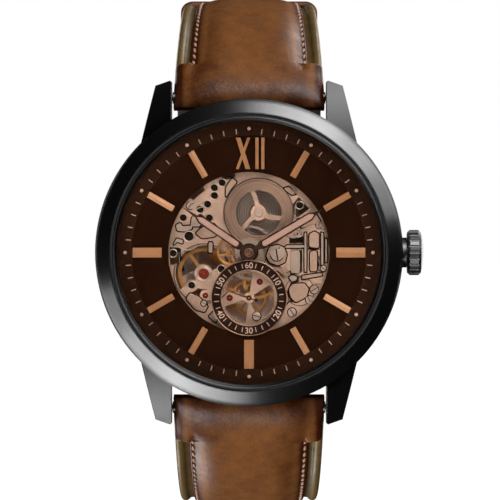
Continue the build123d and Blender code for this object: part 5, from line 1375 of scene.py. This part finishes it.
class WATCH_OT_strap(bpy.types.Operator):
    """Makes both halves of the strap: pad, painted base, lining and stitches"""
    bl_idname = "watch.strap"
    bl_label = "Strap"

    def execute(self, context):
        s = leather()
        pad = waxed_leather("leather_waxed_brown", s.tan, s.burnt, 0.36)
        base = waxed_leather("leather_edge_paint", s.edge, darker(s.edge, (0.3, 0.22, 0.2)), 0.35)
        under = waxed_leather("leather_lining", s.lining, darker(s.lining, (0.6, 0.5, 0.4)), 0.6)
        thread = grained("waxed_thread", s.thread, 0.6, (1, 1, 1), 5000.0, 0.25, 0.00002)
        drills = hole_cutter()
        room = tongue_cutter()
        for name, side, arc, tip, cutter in (("strap_12", 1, SHORT_ARC, False, room),
                                             ("strap_6", -1, LONG_ARC, True, drills)):
            top = make_pad(name + "_pad", side, arc, tip)
            layer = make_base(name + "_base", side, arc, tip)
            lining = make_lining(name + "_inside", side, arc, tip)
            for piece in (top, layer, lining):
                cut(piece, cutter)
                smooth(piece, 48)
            dress(top, pad, name, (name + "_leather",))
            dress(layer, base, name)
            dress(lining, under, name, (name + "_lining",))
            last = arc - (7.0 if not tip else 13.5)
            dress(make_stitches(name + "_stitches", side, arc, last), thread, name)
        bpy.data.objects.remove(drills)
        bpy.data.objects.remove(room)
        return {"FINISHED"}


class WATCH_OT_keepers(bpy.types.Operator):
    """Makes the two leather keepers"""
    bl_idname = "watch.keepers"
    bl_label = "Keepers"

    def execute(self, context):
        pad = bpy.data.materials["leather_waxed_brown"]
        end = BAR_ANGLE + SHORT_ARC
        for name, back, body in (("keeper_fixed", KEEPER_FIXED_BACK, "strap_12"),
                                 ("keeper_sliding", KEEPER_SLIDING_BACK, "sliding_keeper")):
            piece = make_keeper(name + "_loop", end - math.degrees(back / STRAP_RADIUS))
            smooth(piece, 50)
            dress(piece, pad, body, (name,))
        return {"FINISHED"}


class WATCH_OT_buckle(bpy.types.Operator):
    """Finishes the buckle, its bar and its tongue"""
    bl_idname = "watch.buckle"
    bl_label = "Buckle"

    def execute(self, context):
        black = grained("buckle_black", (0.12, 0.12, 0.125), 0.34, (0.1, 1, 1), 6000.0, 0.15, 0.000003, 0.0002,
                        Metallic=1.0)
        for name in ("buckle_frame", "buckle_bar", "buckle_tongue"):
            paint(name, black)
        return {"FINISHED"}


class WATCH_PT_panel(bpy.types.Panel):
    """Lists the watch's pieces and settings"""
    bl_label = "Skeleton wristwatch"
    bl_idname = "WATCH_PT_panel"
    bl_space_type = "VIEW_3D"
    bl_region_type = "UI"
    bl_category = "Watch"

    def draw(self, context):
        layout = self.layout
        for group in (leather(), dial(), movement(), studio()):
            box = layout.box()
            for name in group.__annotations__:
                box.prop(group, name)
        for operator in OPERATORS:
            layout.operator(operator.bl_idname)


SETTINGS = (LeatherSettings, DialSettings, MovementSettings, StudioSettings)
OPERATORS = (WATCH_OT_studio, WATCH_OT_case, WATCH_OT_dial, WATCH_OT_seconds_scale, WATCH_OT_hands,
             WATCH_OT_movement, WATCH_OT_works, WATCH_OT_strap, WATCH_OT_keepers, WATCH_OT_buckle)
CLASSES = SETTINGS + OPERATORS + (WATCH_PT_panel,)


def register():
    for cls in CLASSES:
        bpy.utils.register_class(cls)
    bpy.types.Scene.watch_leather = bpy.props.PointerProperty(type=LeatherSettings)
    bpy.types.Scene.watch_dial = bpy.props.PointerProperty(type=DialSettings)
    bpy.types.Scene.watch_movement = bpy.props.PointerProperty(type=MovementSettings)
    bpy.types.Scene.watch_studio = bpy.props.PointerProperty(type=StudioSettings)


def unregister():
    del bpy.types.Scene.watch_leather
    del bpy.types.Scene.watch_dial
    del bpy.types.Scene.watch_movement
    del bpy.types.Scene.watch_studio
    for cls in reversed(CLASSES):
        bpy.utils.unregister_class(cls)


def main():
    register()
    for operator in OPERATORS:
        group, name = operator.bl_idname.split(".")
        getattr(getattr(bpy.ops, group), name)()


if __name__ == "__main__":
    main()
